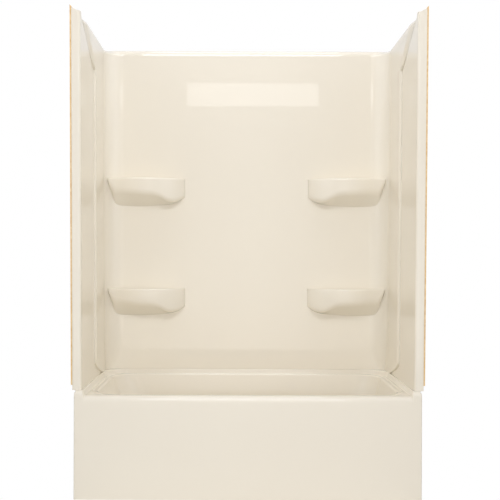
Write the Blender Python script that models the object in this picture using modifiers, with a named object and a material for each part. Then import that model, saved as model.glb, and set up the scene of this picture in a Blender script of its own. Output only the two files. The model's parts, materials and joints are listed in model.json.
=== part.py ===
"""Replacement bathtub with a three-piece wall surround, wooden supports and waste fittings.

Lengths are in metres, +Z is up, the apron faces -Y, and the origin is on the floor at the
middle of the object. Run with: blender --background --python part.py
"""
import math

import bmesh
import bpy
from mathutils import Matrix, Vector

# Overall sizes: a 54 by 27 inch tub, 16 inches to the rim, with a 60 inch surround
TUB_LENGTH = 1.372
TUB_DEPTH = 0.686
RIM_HEIGHT = 0.406

# Walls and clearances shared by many pieces
SHELL_WALL = 0.004
PANEL_WALL = 0.003
SEAT_GAP = 0.0003
CUT_OVERRUN = 0.012
WELD = 0.00001
ROUND_STEPS = 24

# Tub rim, raised border and apron
FRONT_LEDGE = 0.045
BACK_LEDGE = 0.045
END_LEDGE = 0.078
LIP_RADIUS = 0.010
BULLNOSE_RADIUS = 0.025
WALL_SETBACK = 0.028
BORDER_SLOPE_RUN = 0.0063
BORDER_HEIGHT = 0.020
NAIL_FLANGE_HEIGHT = 0.020
BEAD_HEIGHT = 0.004
BEAD_DISTANCE = 0.023
BEAD_HALF_WIDTH = 0.005
BEAD_FADE = 0.040
BEAD_CORNER_FADE = 0.006
BEAD_CORNER_ROOM = 0.008
APRON_FLAT_MARGIN = 0.009
APRON_EDGE_RADIUS = 0.0055
APRON_RETURN = 0.028
DECK_CORNER = 0.100
RIM_CORNER_SPREAD = 0.060

# Basin
FLOOR_HEIGHT = 0.076
FLOOR_FALL = 0.006
BASIN_FRONT_CORNER = 0.105
BASIN_BACK_CORNER = 0.100
FOOT_CORNER_GROWTH = 0.020
BACKREST_RUN = 0.150
DRAIN_END_RUN = 0.085
SIDE_RUN = 0.045
FOOT_CURVE_HEIGHT = 0.070
FOOT_CURVE_REACH = 0.060
CORNER_ARC_STEPS = 6
SIDE_STEPS = 10
END_STEPS = 6

# Wall surround
WALL_HEIGHT = 1.514
TOP_ROLL = 0.022
TOP_CORNER_RADIUS = 0.024
WALL_SPREAD_SHARE = 0.0148
FLANGE_OVERHANG = 0.0065
FLANGE_SETBACK = 0.021
FLANGE_INNER_RADIUS = 0.010
FLANGE_RISE_OUTER = 0.024
FLANGE_RISE_INNER = 0.012
WING_STEP = 0.0075
WING_EDGE = 0.345
WING_TOE_REACH = 0.190
WING_TOE_HEIGHT = 0.068
WING_SWEEP = 0.280
WING_SWEEP_HEIGHT = 0.138
WING_SWEEP_POWER = 1.05
LAP_WIDTH = 0.045
LAP_TOE_REACH = 0.190
LAP_TOE_HEIGHT = 0.095
TOE_POWER = 1.5
CORNER_RADIUS = 0.083
CORNER_RADIUS_LOW = 0.035
CORNER_EASE_HEIGHT = 0.200
WALL_CORNER_STEPS = 14
EDGE_STEPS = 4
LAP_STATION_SHARES = ((1, 1), (0.66, 1), (0.33, 1), (0.09, 1), (0.05, 0))
WING_STATION_SHARES = (0.3, 0.6, 0.9)
LEVEL_SHARES = (0, 0.15, 0.45, 0.8, 1)

# Wood strips behind the front flanges
BACKER_THICKNESS = 0.019
BACKER_OVERHANG = 0.013
BACKER_STAND_PROUD = 0.012
BACKER_TOP_FALL = 0.036

# Corner shelves
SHELF_LOWER_RISE = 0.3985
SHELF_PITCH = 0.5105
SHELF_START_ANGLE = math.radians(30)
SHELF_FLAT_RUN = 0.2820
SHELF_HEIGHT = 0.127
SHELF_REACH = 0.092
SHELF_END_REACH = 0.004
SHELF_DISH_DEPTH = 0.007
SHELF_SKIN = 0.003
SHELF_STATIONS = 18
SHELF_LIP_SHARE = 0.12
SHELF_CREASE_SHARE = 0.97
SHELF_LIP_ROUND_SHARE = 0.035
SHELF_BULGE_POWER = 0.8

# Wooden supports
BOARD_THICKNESS = 0.0127
RUNNER_HEIGHT = 0.0417
RUNNER_WIDTH = 0.038
BOARD_MARGIN = 0.025
RUNNER_INSET = 0.030
PAD_INSET = 0.022
DRAIN_BAY_CLEARANCE = 0.003
RAIL_HEIGHT = 0.038
RAIL_WIDTH = 0.035
RAIL_END_GAP = 0.020
POST_REACH_SHARE = 0.760

# Waste and overflow
DRAIN_SETBACK = 0.105
DRAIN_HOLE_RADIUS = 0.026
OVERFLOW_DROP = 0.106
OVERFLOW_HOLE_RADIUS = 0.029
TUBE_RADIUS = 0.019
TUBE_WALL = 0.0015
FITTING_WALL = 0.0037
TUBE_STOP_LEDGE = 0.0025
PLUNGER_SEAT_WIDTH = 0.002
WASTE_AXIS_HEIGHT = 0.036
SHOE_BOTTOM = 0.010
SHOE_WALL = 0.0037
SHOE_STOP_LEDGE = 0.003
SHOE_FLANGE_WIDTH = 0.007
SHOE_FLANGE_THICKNESS = 0.004
SHOE_OUTLET = 0.062
SOCKET_DEPTH = 0.022
BARREL_CLEARANCE = 0.0035
BARREL_WALL = 0.002
BARREL_LENGTH = 0.0235
STRAINER_FLANGE_WIDTH = 0.009
STRAINER_THICKNESS = 0.002
STRAINER_BAR = 0.004
WASHER_THICKNESS = 0.003
TEE_BOTTOM = 0.002
TEE_SEAT = 0.018
TEE_TOP = 0.110
TEE_BRANCH = 0.050
TEE_SOCKET_DEPTH = 0.025
ELBOW_LEG_DROP = 0.063
HEAD_BORE = 0.0215
HEAD_WALL = 0.004
FACE_WIDTH = 0.008
FACE_THICKNESS = 0.008
GASKET_THICKNESS = 0.005
GASKET_WIDTH = 0.009
NUT_WALL = 0.0047
NUT_GRIP = 0.012
NUT_END_WALL = 0.003
SLIP_WASHER_THICKNESS = 0.004
PLATE_LAP = 0.011
PLATE_EDGE_SLOPE = 0.007
PLATE_HEIGHT = 0.009
PLATE_WALL = 0.0015
PLATE_SLOT_HEIGHT = 0.015
PLATE_SLOT_WIDTH = 0.009
SCREW_EDGE_DISTANCE = 0.004
SCREW_RADIUS = 0.002
SCREW_HOLE_RADIUS = 0.0025
SCREW_HEAD_RADIUS = 0.0042
SCREW_HEAD_HEIGHT = 0.0016
SCREW_BITE = 0.005

# Trip lever, its bracket, the rod and the plunger
PIVOT_STANDOFF = 0.002
LEVER_SWING = math.radians(30)
ROD_REACH = 0.046
PIN_RADIUS = 0.0013
PIN_HOLE_RADIUS = 0.0016
BRACKET_HALF_WIDTH = 0.0095
BRACKET_HALF_HEIGHT = 0.012
BRACKET_WALL = 0.0015
BRACKET_BACK = 0.004
HUB_RADIUS = 0.0032
HUB_HALF_WIDTH = 0.0072
HANDLE_LENGTH = 0.027
HANDLE_WIDTH = 0.006
HANDLE_THICKNESS = 0.003
PADDLE_LENGTH = 0.016
PADDLE_WIDTH = 0.014
ARM_RADIUS = 0.0015
ARM_OVERHANG = 0.006
WIRE_RADIUS = 0.0012
EYE_RADIUS = 0.0045
EYE_TURN = 1.5
EYE_STEPS = 14
PLUNGER_RADIUS = 0.0145
PLUNGER_HEIGHT = 0.040
PLUNGER_CHAMFER = 0.003
PLUNGER_HOLE_DEPTH = 0.015
ROD_BEND_LENGTH = 0.012

# Places worked out from the sizes above
FRONT_Y = -TUB_DEPTH / 2
BACK_Y = TUB_DEPTH / 2
HALF_LENGTH = TUB_LENGTH / 2
WALL_TOP = RIM_HEIGHT + WALL_HEIGHT
FLANGE_OUTER = HALF_LENGTH + FLANGE_OVERHANG
SHELF_LOWER_RIM = RIM_HEIGHT + SHELF_LOWER_RISE
SHELF_UPPER_RIM = SHELF_LOWER_RIM + SHELF_PITCH
OVERFLOW_HEIGHT = RIM_HEIGHT - OVERFLOW_DROP
FACE_X = HALF_LENGTH - WALL_SETBACK
FACE_BACK_Y = BACK_Y - WALL_SETBACK
WING_X = FACE_X - WING_STEP
DECK_X = WING_X - SEAT_GAP - BORDER_SLOPE_RUN
DECK_BACK_Y = FACE_BACK_Y - SEAT_GAP - BORDER_SLOPE_RUN
DECK_FRONT_Y = FRONT_Y + BULLNOSE_RADIUS
RIM_OUTER_X = HALF_LENGTH - APRON_EDGE_RADIUS
RIM_OUTER_Y = BACK_Y - SHELL_WALL
BORDER_OUTER_CORNER = CORNER_RADIUS_LOW + RIM_OUTER_Y - FACE_BACK_Y
BORDER_TOP = RIM_HEIGHT + BORDER_HEIGHT
APRON_FLAT_HEIGHT = RIM_HEIGHT - BULLNOSE_RADIUS - APRON_FLAT_MARGIN
PANEL_FOOT = BORDER_TOP + SEAT_GAP
ROLL_START = WALL_TOP - TOP_ROLL
BASIN_TOP = RIM_HEIGHT - LIP_RADIUS
BASIN_DEPTH = BASIN_TOP - FLOOR_HEIGHT
BASIN_RIGHT_X = HALF_LENGTH - END_LEDGE
WASTE_Y = FRONT_Y + (FRONT_LEDGE + TUB_DEPTH - BACK_LEDGE) / 2
DRAIN_X = BASIN_RIGHT_X - DRAIN_END_RUN - DRAIN_SETBACK
END_WALL_TILT = math.atan2(DRAIN_END_RUN, BASIN_DEPTH)
OVERFLOW_X = BASIN_RIGHT_X - DRAIN_END_RUN * (BASIN_TOP - OVERFLOW_HEIGHT) / BASIN_DEPTH
SOCKET_RADIUS = TUBE_RADIUS + SEAT_GAP
FITTING_RADIUS = SOCKET_RADIUS + FITTING_WALL
FITTING_END_RADIUS = FITTING_RADIUS + SEAT_GAP
FITTING_BORE = TUBE_RADIUS - TUBE_STOP_LEDGE
OUTLET_BORE = PLUNGER_RADIUS - PLUNGER_SEAT_WIDTH
BARREL_RADIUS = DRAIN_HOLE_RADIUS - BARREL_CLEARANCE
STRAINER_RADIUS = DRAIN_HOLE_RADIUS + STRAINER_FLANGE_WIDTH
SHOE_RADIUS = BARREL_RADIUS + SEAT_GAP + SHOE_WALL
SHOE_CHAMBER = BARREL_RADIUS - SHOE_STOP_LEDGE
SHOE_FLANGE_RADIUS = DRAIN_HOLE_RADIUS + SHOE_FLANGE_WIDTH
NUT_RADIUS = FITTING_END_RADIUS + NUT_WALL
FACE_RADIUS = OVERFLOW_HOLE_RADIUS + FACE_WIDTH
GASKET_RADIUS = OVERFLOW_HOLE_RADIUS + GASKET_WIDTH
HEAD_RADIUS = HEAD_BORE + HEAD_WALL
PLATE_RADIUS = OVERFLOW_HOLE_RADIUS + PLATE_LAP
PLATE_CROWN_RADIUS = PLATE_RADIUS - PLATE_EDGE_SLOPE
SCREW_SPACING = HEAD_BORE + SCREW_EDGE_DISTANCE
TEE_STOP = TEE_TOP - TEE_SOCKET_DEPTH
ELBOW_SOCKET_BOTTOM = OVERFLOW_HEIGHT - ELBOW_LEG_DROP
ELBOW_STOP = ELBOW_SOCKET_BOTTOM + TEE_SOCKET_DEPTH
OVERFLOW_CENTRE = Vector((OVERFLOW_X, WASTE_Y, OVERFLOW_HEIGHT))
WALL_NORMAL = Vector((-math.cos(END_WALL_TILT), 0, math.sin(END_WALL_TILT)))
WALL_UP = Vector((math.sin(END_WALL_TILT), 0, math.cos(END_WALL_TILT)))
PIVOT = OVERFLOW_CENTRE + WALL_NORMAL * PIVOT_STANDOFF
ROD_X = PIVOT.x + ROD_REACH
ROD_TRAVEL = 2 * ROD_REACH * math.tan(LEVER_SWING / 2)
FACE_PLACE = -(SHELL_WALL + GASKET_THICKNESS + SEAT_GAP + SEAT_GAP)


def clear_scene():
    for item in list(bpy.data.objects):
        bpy.data.objects.remove(item, do_unlink=True)


def make_collection(name):
    group = bpy.data.collections.new(name)
    bpy.context.scene.collection.children.link(group)
    return group


def make_material(name, colour, roughness, metallic):
    finish = bpy.data.materials.new(name)
    finish.use_nodes = True
    shader = finish.node_tree.nodes["Principled BSDF"]
    shader.inputs["Base Color"].default_value = (*colour, 1)
    shader.inputs["Roughness"].default_value = roughness
    shader.inputs["Metallic"].default_value = metallic
    return finish


clear_scene()
PARTS = make_collection("replacement_bathtub")
CUTTERS = make_collection("cutters")
ALMOND_PLASTIC = make_material("almond_plastic", (0.83, 0.76, 0.62), 0.12, 0)
PINE = make_material("pine", (0.66, 0.42, 0.20), 0.7, 0)
PLYWOOD = make_material("plywood", (0.60, 0.45, 0.28), 0.8, 0)
WHITE_FOAM = make_material("white_foam", (0.85, 0.85, 0.83), 0.9, 0)
CHROME = make_material("chrome", (0.75, 0.75, 0.76), 0.12, 1)
WASTE_PLASTIC = make_material("waste_plastic", (0.80, 0.80, 0.78), 0.4, 0)
BLACK_RUBBER = make_material("black_rubber", (0.03, 0.03, 0.03), 0.7, 0)
BRASS = make_material("brass", (0.62, 0.45, 0.18), 0.35, 1)


def add_object(name, mesh, finish, place=None):
    piece = bpy.data.objects.new(name, mesh)
    if finish is None:
        CUTTERS.objects.link(piece)
        piece.hide_render = True
        piece.display_type = "WIRE"
    else:
        PARTS.objects.link(piece)
        mesh.materials.append(finish)
    if place is not None:
        piece.matrix_world = place
    return piece


def finish_mesh(name, shape):
    mesh = bpy.data.meshes.new(name)
    shape.to_mesh(mesh)
    shape.free()
    return mesh


def make_box(name, low, high, finish, place=None):
    """A box between two corners, from a unit cube."""
    shape = bmesh.new()
    bmesh.ops.create_cube(shape, size=1)
    low = Vector(low)
    high = Vector(high)
    middle = (low + high) / 2
    for vert in shape.verts:
        vert.co = middle + vert.co * (high - low)
    return add_object(name, finish_mesh(name, shape), finish, place)


def make_rod(name, start, end, radius, finish, place=None):
    """A straight round bar between two points."""
    start = Vector(start)
    end = Vector(end)
    shape = bmesh.new()
    bmesh.ops.create_cone(shape, cap_ends=True, segments=ROUND_STEPS, radius1=radius,
                          radius2=radius, depth=(end - start).length)
    turn = (end - start).to_track_quat("Z", "Y").to_matrix().to_4x4()
    bmesh.ops.transform(shape, matrix=Matrix.Translation((start + end) / 2) @ turn,
                        verts=shape.verts)
    return add_object(name, finish_mesh(name, shape), finish, place)


def make_turned(name, profile, finish, place=None, closed=False):
    """A solid of revolution about Z; the profile's outer side runs from top to bottom."""
    mesh = bpy.data.meshes.new(name)
    corners = [(radius, 0, height) for radius, height in profile]
    links = [(index, index + 1) for index in range(len(corners) - 1)]
    if closed:
        links.append((len(corners) - 1, 0))
    mesh.from_pydata(corners, links, [])
    piece = add_object(name, mesh, finish, place)
    screw = piece.modifiers.new("turn", "SCREW")
    screw.steps = ROUND_STEPS
    screw.render_steps = ROUND_STEPS
    screw.use_merge_vertices = True
    screw.merge_threshold = WELD
    return piece


def cut(piece, cutter):
    """Takes the cutter's shape out of a piece."""
    change = piece.modifiers.new("cut_" + cutter.name, "BOOLEAN")
    change.operation = "DIFFERENCE"
    change.solver = "EXACT"
    change.object = cutter


def join(piece, addition):
    """Fuses a guide shape to a piece."""
    change = piece.modifiers.new("join_" + addition.name, "BOOLEAN")
    change.operation = "UNION"
    change.solver = "EXACT"
    change.object = addition


def bridge(shape, rows, closed):
    """Quads between rows of points; outer rows come first on a counter-clockwise outline."""
    verts = [[shape.verts.new(point) for point in row] for row in rows]
    for outer, inner in zip(verts, verts[1:]):
        count = len(outer)
        for index in range(count if closed else count - 1):
            after = (index + 1) % count
            shape.faces.new((outer[index], outer[after], inner[after], inner[index]))
    return verts


def make_sheet(name, patches, wall, finish):
    """An open surface of bridged patches, thickened away from its visible side."""
    shape = bmesh.new()
    for rows, closed, filled in patches:
        verts = bridge(shape, rows, closed)
        if filled:
            shape.faces.new(verts[-1])
    bmesh.ops.remove_doubles(shape, verts=shape.verts, dist=WELD)
    piece = add_object(name, finish_mesh(name, shape), finish)
    skin = piece.modifiers.new("thickness", "SOLIDIFY")
    skin.thickness = wall
    skin.offset = -1
    skin.use_even_offset = True
    return piece


def make_loft(name, sections, finish):
    """A closed solid through equal-length closed sections, with flat ends."""
    shape = bmesh.new()
    verts = bridge(shape, sections, True)
    shape.faces.new(list(reversed(verts[0])))
    shape.faces.new(verts[-1])
    bmesh.ops.recalc_face_normals(shape, faces=shape.faces)
    return add_object(name, finish_mesh(name, shape), finish)


def mix(start, end, share):
    return start + (end - start) * share


def rounded_ring(corners, radii, spread):
    """A counter-clockwise outline from the front left corner; a zero radius stays sharp."""
    edge_steps = (SIDE_STEPS, END_STEPS, SIDE_STEPS, END_STEPS)
    blocks = []
    for index, corner in enumerate(corners):
        here = Vector(corner)
        back = (Vector(corners[index - 1]) - here).normalized()
        ahead = (Vector(corners[(index + 1) % len(corners)]) - here).normalized()
        half = back.angle(ahead) / 2
        block = []
        for step in range(CORNER_ARC_STEPS + 1):
            share = step / CORNER_ARC_STEPS
            if radii[index] == 0:
                along = spread * (1 - 2 * share)
                block.append(here + (back if along > 0 else ahead) * abs(along))
                continue
            centre = here + (back + ahead).normalized() * radii[index] / math.sin(half)
            start = here + back * radii[index] / math.tan(half) - centre
            turn = Matrix.Rotation(share * (math.pi - 2 * half), 2)
            block.append(centre + turn @ start)
        blocks.append(block)
    points = []
    for index, block in enumerate(blocks):
        points.extend(block)
        after = blocks[(index + 1) % len(blocks)][0]
        steps = edge_steps[index]
        points.extend(mix(block[-1], after, step / steps) for step in range(1, steps))
    return points


def raised(points, height):
    return [Vector((point.x, point.y, height)) for point in points]


def basin_ring(left_inset, right_inset, side_inset, growth, height, fall_share):
    """One level of the basin, its ends and sides drawn in by their insets."""
    left = -BASIN_RIGHT_X + left_inset
    right = BASIN_RIGHT_X - right_inset
    front = FRONT_Y + FRONT_LEDGE + side_inset
    back = BACK_Y - BACK_LEDGE - side_inset
    corners = ((left, front), (right, front), (right, back), (left, back))
    radii = [BASIN_FRONT_CORNER + growth, BASIN_FRONT_CORNER + growth,
             BASIN_BACK_CORNER + growth, BASIN_BACK_CORNER + growth]
    ring = rounded_ring(corners, radii, RIM_CORNER_SPREAD)
    return [Vector((point.x, point.y, height + fall_share * floor_rise(point.x)))
            for point in ring]


def floor_rise(x):
    """How far the basin floor stands above its height at the drain."""
    return FLOOR_FALL * (DRAIN_X - x) / TUB_LENGTH


def deck_ring(side_offset, back_offset, corner):
    """The deck's edge, or a line outside it, sharp in front and rounded behind."""
    side = DECK_X + side_offset
    back = DECK_BACK_Y + back_offset
    corners = ((-side, DECK_FRONT_Y), (side, DECK_FRONT_Y), (side, back), (-side, back))
    return rounded_ring(corners, (0, 0, corner, corner), RIM_CORNER_SPREAD)


def bead_row(distance, lift, room_share):
    """A line round the basin at a distance from it, kept on the deck at its corners too."""
    front = mix(FRONT_Y + FRONT_LEDGE - LIP_RADIUS, DECK_FRONT_Y, room_share)
    back = mix(BACK_Y - BACK_LEDGE + LIP_RADIUS, DECK_BACK_Y, room_share)
    centre = Vector((DECK_X - DECK_CORNER, DECK_BACK_Y - DECK_CORNER))
    reach = DECK_CORNER - BEAD_CORNER_ROOM * (1 - room_share)
    row = basin_ring(-distance, -distance, -distance, distance, RIM_HEIGHT, 0)
    for point in row:
        out = Vector((abs(point.x), point.y)) - centre
        room = min(point.y - front, back - point.y) / BEAD_FADE
        if min(out) > 0:
            room = min(room, (reach - out.length) / BEAD_CORNER_FADE)
            out *= min(1, reach / out.length)
            point.x = math.copysign(centre.x + out.x, point.x)
            point.y = centre.y + out.y
        point.z += lift * max(0, min(1, room))
        point.y = max(front, min(back, point.y))
    return row


def basin_rows():
    """Rows of the deck and the basin, from the deck's edge to the floor."""
    rows = [raised(deck_ring(0, 0, DECK_CORNER), RIM_HEIGHT),
            bead_row(BEAD_DISTANCE + BEAD_HALF_WIDTH, 0, 0.75),
            bead_row(BEAD_DISTANCE, BEAD_HEIGHT, 0.5),
            bead_row(BEAD_DISTANCE - BEAD_HALF_WIDTH, 0, 0.25),
            basin_ring(-LIP_RADIUS, -LIP_RADIUS, -LIP_RADIUS, LIP_RADIUS, RIM_HEIGHT, 0)]
    inward = LIP_RADIUS * (1 - math.sin(math.pi / 4))
    rows.append(basin_ring(-inward, -inward, -inward, inward, RIM_HEIGHT - inward, 0))
    straight = 1 - FOOT_CURVE_HEIGHT / BASIN_DEPTH
    for share in (0, straight / 3, 2 * straight / 3, straight):
        rows.append(basin_ring(BACKREST_RUN * share, DRAIN_END_RUN * share, SIDE_RUN * share,
                               FOOT_CORNER_GROWTH * share, BASIN_TOP - BASIN_DEPTH * share,
                               share))
    for step in range(1, EDGE_STEPS + 1):
        share = step / EDGE_STEPS
        before = (1 - share) ** 2
        after = share ** 2
        insets = [run * (before * straight + 1 - before) + FOOT_CURVE_REACH * after
                  for run in (BACKREST_RUN, DRAIN_END_RUN, SIDE_RUN)]
        rows.append(basin_ring(*insets, FOOT_CORNER_GROWTH,
                               FLOOR_HEIGHT + FOOT_CURVE_HEIGHT * before, 1))
    return rows


def border_rows():
    """Rows of the raised border and its nailing flange, round the ends and the back."""
    block = CORNER_ARC_STEPS + 1
    first = block + SIDE_STEPS - 1 + CORNER_ARC_STEPS // 2
    count = len(deck_ring(0, 0, DECK_CORNER))
    last = count + CORNER_ARC_STEPS // 2
    outer = (RIM_OUTER_X - DECK_X, RIM_OUTER_Y - DECK_BACK_Y, BORDER_OUTER_CORNER)
    slope = (BORDER_SLOPE_RUN, BORDER_SLOPE_RUN, DECK_CORNER + BORDER_SLOPE_RUN)
    rows = []
    for offsets, height in ((outer, BORDER_TOP + NAIL_FLANGE_HEIGHT), (outer, BORDER_TOP),
                            (slope, BORDER_TOP), ((0, 0, DECK_CORNER), RIM_HEIGHT)):
        ring = raised(deck_ring(*offsets), height)
        rows.append([ring[index % count] for index in range(first, last + 1)])
    return rows


def apron_rows():
    """Rows of the front roll and the apron, from the floor up to the deck's front edge."""
    ring = deck_ring(0, 0, DECK_CORNER)
    first = CORNER_ARC_STEPS // 2
    last = CORNER_ARC_STEPS + 1 + SIDE_STEPS - 1 + CORNER_ARC_STEPS // 2
    deck = [(point.x, RIM_HEIGHT) for point in ring[first:last + 1]]
    slope_x = DECK_X + BORDER_SLOPE_RUN
    top = [(-RIM_OUTER_X, BORDER_TOP), (-slope_x, BORDER_TOP)] + deck
    top += [(slope_x, BORDER_TOP), (RIM_OUTER_X, BORDER_TOP)]
    rows = [[Vector((x, FRONT_Y, level)) for x, height in top]
            for level in (0, APRON_FLAT_HEIGHT)]
    for step in range(EDGE_STEPS, -1, -1):
        angle = math.pi / 2 * step / EDGE_STEPS
        rows.append([Vector((x, DECK_FRONT_Y - BULLNOSE_RADIUS * math.sin(angle),
                             height - BULLNOSE_RADIUS * (1 - math.cos(angle))))
                     for x, height in top])
    return rows


def apron_return_rows(side):
    """Rows of the apron's end, turned back round a small radius; side is -1 or 1."""
    column = -1 if side > 0 else 0
    rows = []
    for row in apron_rows()[:-EDGE_STEPS // 2]:
        edge = row[column]
        path = []
        for step in range(EDGE_STEPS):
            angle = math.pi / 2 * step / (EDGE_STEPS - 1)
            path.append(Vector((side * (RIM_OUTER_X + APRON_EDGE_RADIUS * math.sin(angle)),
                                edge.y + APRON_EDGE_RADIUS * (1 - math.cos(angle)), edge.z)))
        path.append(Vector((side * HALF_LENGTH, FRONT_Y + APRON_EDGE_RADIUS + APRON_RETURN,
                            edge.z)))
        rows.append(path if side > 0 else list(reversed(path)))
    return rows


def make_tub():
    patches = [(basin_rows(), True, True), (border_rows(), False, False),
               (apron_rows(), False, False), (apron_return_rows(-1), False, False),
               (apron_return_rows(1), False, False)]
    tub = make_sheet("tub_shell", patches, SHELL_WALL, ALMOND_PLASTIC)
    below = FLOOR_HEIGHT - SHELL_WALL - CUT_OVERRUN
    above = FLOOR_HEIGHT + CUT_OVERRUN
    cut(tub, make_rod("drain_hole", (DRAIN_X, WASTE_Y, below), (DRAIN_X, WASTE_Y, above),
                      DRAIN_HOLE_RADIUS, None))
    reach = WALL_NORMAL * (SHELL_WALL + CUT_OVERRUN)
    cut(tub, make_rod("overflow_hole", OVERFLOW_CENTRE - reach, OVERFLOW_CENTRE + reach,
                      OVERFLOW_HOLE_RADIUS, None))


def spread(point):
    """Leans a point of the surround outwards with its height, as the mould's draft does."""
    lean = 1 + WALL_SPREAD_SHARE * (point.z - PANEL_FOOT) / WALL_HEIGHT
    return Vector((point.x * lean, point.y, point.z))


def roll_angles():
    """Angles up the rolled top edge, after its start."""
    return [math.pi / 2 * step / EDGE_STEPS for step in range(1, EDGE_STEPS + 1)]


def rolled(inset, angle):
    """Outward run and rise on the rolled top edge; an inset goes towards its centre."""
    radius = TOP_ROLL - inset
    return TOP_ROLL - radius * math.cos(angle), radius * math.sin(angle)


def toe_shares(toe_height):
    """Heights of the levels in a curved toe at the foot of a panel."""
    return [PANEL_FOOT + toe_height * share for share in LEVEL_SHARES]


def toe_run(height, reach, toe_height):
    """How far a panel's edge runs back at its foot."""
    below = max(0, 1 - (height - PANEL_FOOT) / toe_height)
    return reach * below ** TOE_POWER


def end_panel_row(height, angle, rise_share):
    """One level of the left end panel, from its lapped edge to the flange's outer edge."""
    lap = FRONT_Y + WING_EDGE + LAP_WIDTH + toe_run(height, LAP_TOE_REACH, LAP_TOE_HEIGHT)
    flange_y = FRONT_Y + FLANGE_SETBACK
    inner_y = flange_y + FLANGE_INNER_RADIUS
    run, rise = rolled(WING_STEP, angle)
    run -= WING_STEP
    ear = FLANGE_RISE_INNER * rise_share
    stations = [Vector((-FACE_X - run * roll, mix(inner_y, lap, share),
                        height + rise + ear * (1 - roll)))
                for share, roll in LAP_STATION_SHARES]
    for step in range(EDGE_STEPS + 1):
        turn = math.pi / 2 * step / EDGE_STEPS
        stations.append(Vector((-FACE_X - FLANGE_INNER_RADIUS * (1 - math.cos(turn)),
                                inner_y - FLANGE_INNER_RADIUS * math.sin(turn),
                                height + rise + ear)))
    stations.append(Vector((-FLANGE_OUTER, flange_y,
                            height + rise + FLANGE_RISE_OUTER * rise_share)))
    return stations


def make_end_panel(name, side):
    """An end wall with its front flange; side is -1 on the left and 1 on the right."""
    levels = toe_shares(LAP_TOE_HEIGHT)
    levels += [(levels[-1] + ROLL_START) / 2, ROLL_START]
    rows = [end_panel_row(height, 0, 0) for height in levels]
    rows += [end_panel_row(ROLL_START, angle, 2 * angle / math.pi) for angle in roll_angles()]
    rows = [[spread(point) for point in row] for row in rows]
    if side > 0:
        rows = [[Vector((-point.x, point.y, point.z)) for point in reversed(row)]
                for row in rows]
    rows = [list(reversed(row)) for row in rows]
    make_sheet(name, [(rows, False, False)], PANEL_WALL, ALMOND_PLASTIC)


def corner_radius(height):
    """The rear corner's radius, which eases in to the tub's border at the foot."""
    share = min(1, (height - PANEL_FOOT) / CORNER_EASE_HEIGHT)
    return mix(CORNER_RADIUS_LOW, CORNER_RADIUS, math.sin(math.pi / 2 * share))


def wing_edge(height):
    """The wing's front edge, curved back at its foot and swept forward at its top."""
    above = max(0, 1 - (ROLL_START - height) / WING_SWEEP_HEIGHT)
    return (FRONT_Y + WING_EDGE + toe_run(height, WING_TOE_REACH, WING_TOE_HEIGHT)
            - WING_SWEEP * above ** WING_SWEEP_POWER)


def back_panel_row(height, angle):
    """One level of the back panel, from the right wing's returned edge round to the left's."""
    run, rise = rolled(0, angle)
    radius = mix(corner_radius(height) + run, TOP_CORNER_RADIUS, math.sin(angle))
    centre_x = WING_X + run - radius
    centre_y = FACE_BACK_Y + run - radius
    edge = wing_edge(height)
    lip_run, lip_rise = rolled(WING_STEP - SEAT_GAP, angle)
    half = [Vector((WING_X + lip_run, edge, height + lip_rise))]
    half += [Vector((WING_X + run, mix(edge, centre_y, share), height + rise))
             for share in (0, *WING_STATION_SHARES)]
    for step in range(WALL_CORNER_STEPS + 1):
        turn = math.pi / 2 * step / WALL_CORNER_STEPS
        half.append(Vector((centre_x + radius * math.cos(turn),
                            centre_y + radius * math.sin(turn), height + rise)))
    half.append(Vector((centre_x / 2, FACE_BACK_Y + run, height + rise)))
    other = [Vector((-point.x, point.y, point.z)) for point in reversed(half)]
    return half + [Vector((0, FACE_BACK_Y + run, height + rise))] + other


def make_back_panel():
    levels = toe_shares(WING_TOE_HEIGHT) + [PANEL_FOOT + CORNER_EASE_HEIGHT]
    sweep = ROLL_START - WING_SWEEP_HEIGHT
    levels.append((levels[-1] + sweep) / 2)
    levels += [mix(sweep, ROLL_START, share) for share in (0, *WING_STATION_SHARES, 1)]
    rows = [back_panel_row(height, 0) for height in levels]
    rows += [back_panel_row(ROLL_START, angle) for angle in roll_angles()]
    rows = [[spread(point) for point in row] for row in reversed(rows)]
    make_sheet("back_panel", [(rows, False, False)], PANEL_WALL, ALMOND_PLASTIC)


def wall_point(run, gap):
    """A place on the left rear corner's face, by its run from the corner's start."""
    arc = CORNER_RADIUS * math.pi / 2
    centre_x = -(WING_X - CORNER_RADIUS)
    centre_y = FACE_BACK_Y - CORNER_RADIUS
    if run < arc:
        angle = run / CORNER_RADIUS
        return Vector((centre_x - (CORNER_RADIUS - gap) * math.cos(angle),
                       centre_y + (CORNER_RADIUS - gap) * math.sin(angle)))
    return Vector((centre_x + run - arc, FACE_BACK_Y - gap))


def shelf_drops(share):
    """Depths below the rim of a station's crease and foot, as shares of the height."""
    drop_shares = ((0, 0.06, 0.10), (0.056, 0.25, 0.48), (0.111, 0.43, 0.86),
                   (0.167, 0.47, 0.965), (0.28, 0.50, 0.99), (0.46, 0.55, 1),
                   (0.66, 0.61, 0.965), (0.81, 0.84, 0.93), (0.92, 0.80, 0.83),
                   (1, 0.62, 0.66))
    for before, after in zip(drop_shares, drop_shares[1:]):
        if share <= after[0]:
            part = (share - before[0]) / (after[0] - before[0])
            return mix(before[1], after[1], part), mix(before[2], after[2], part)
    return drop_shares[-1][1:]


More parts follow.
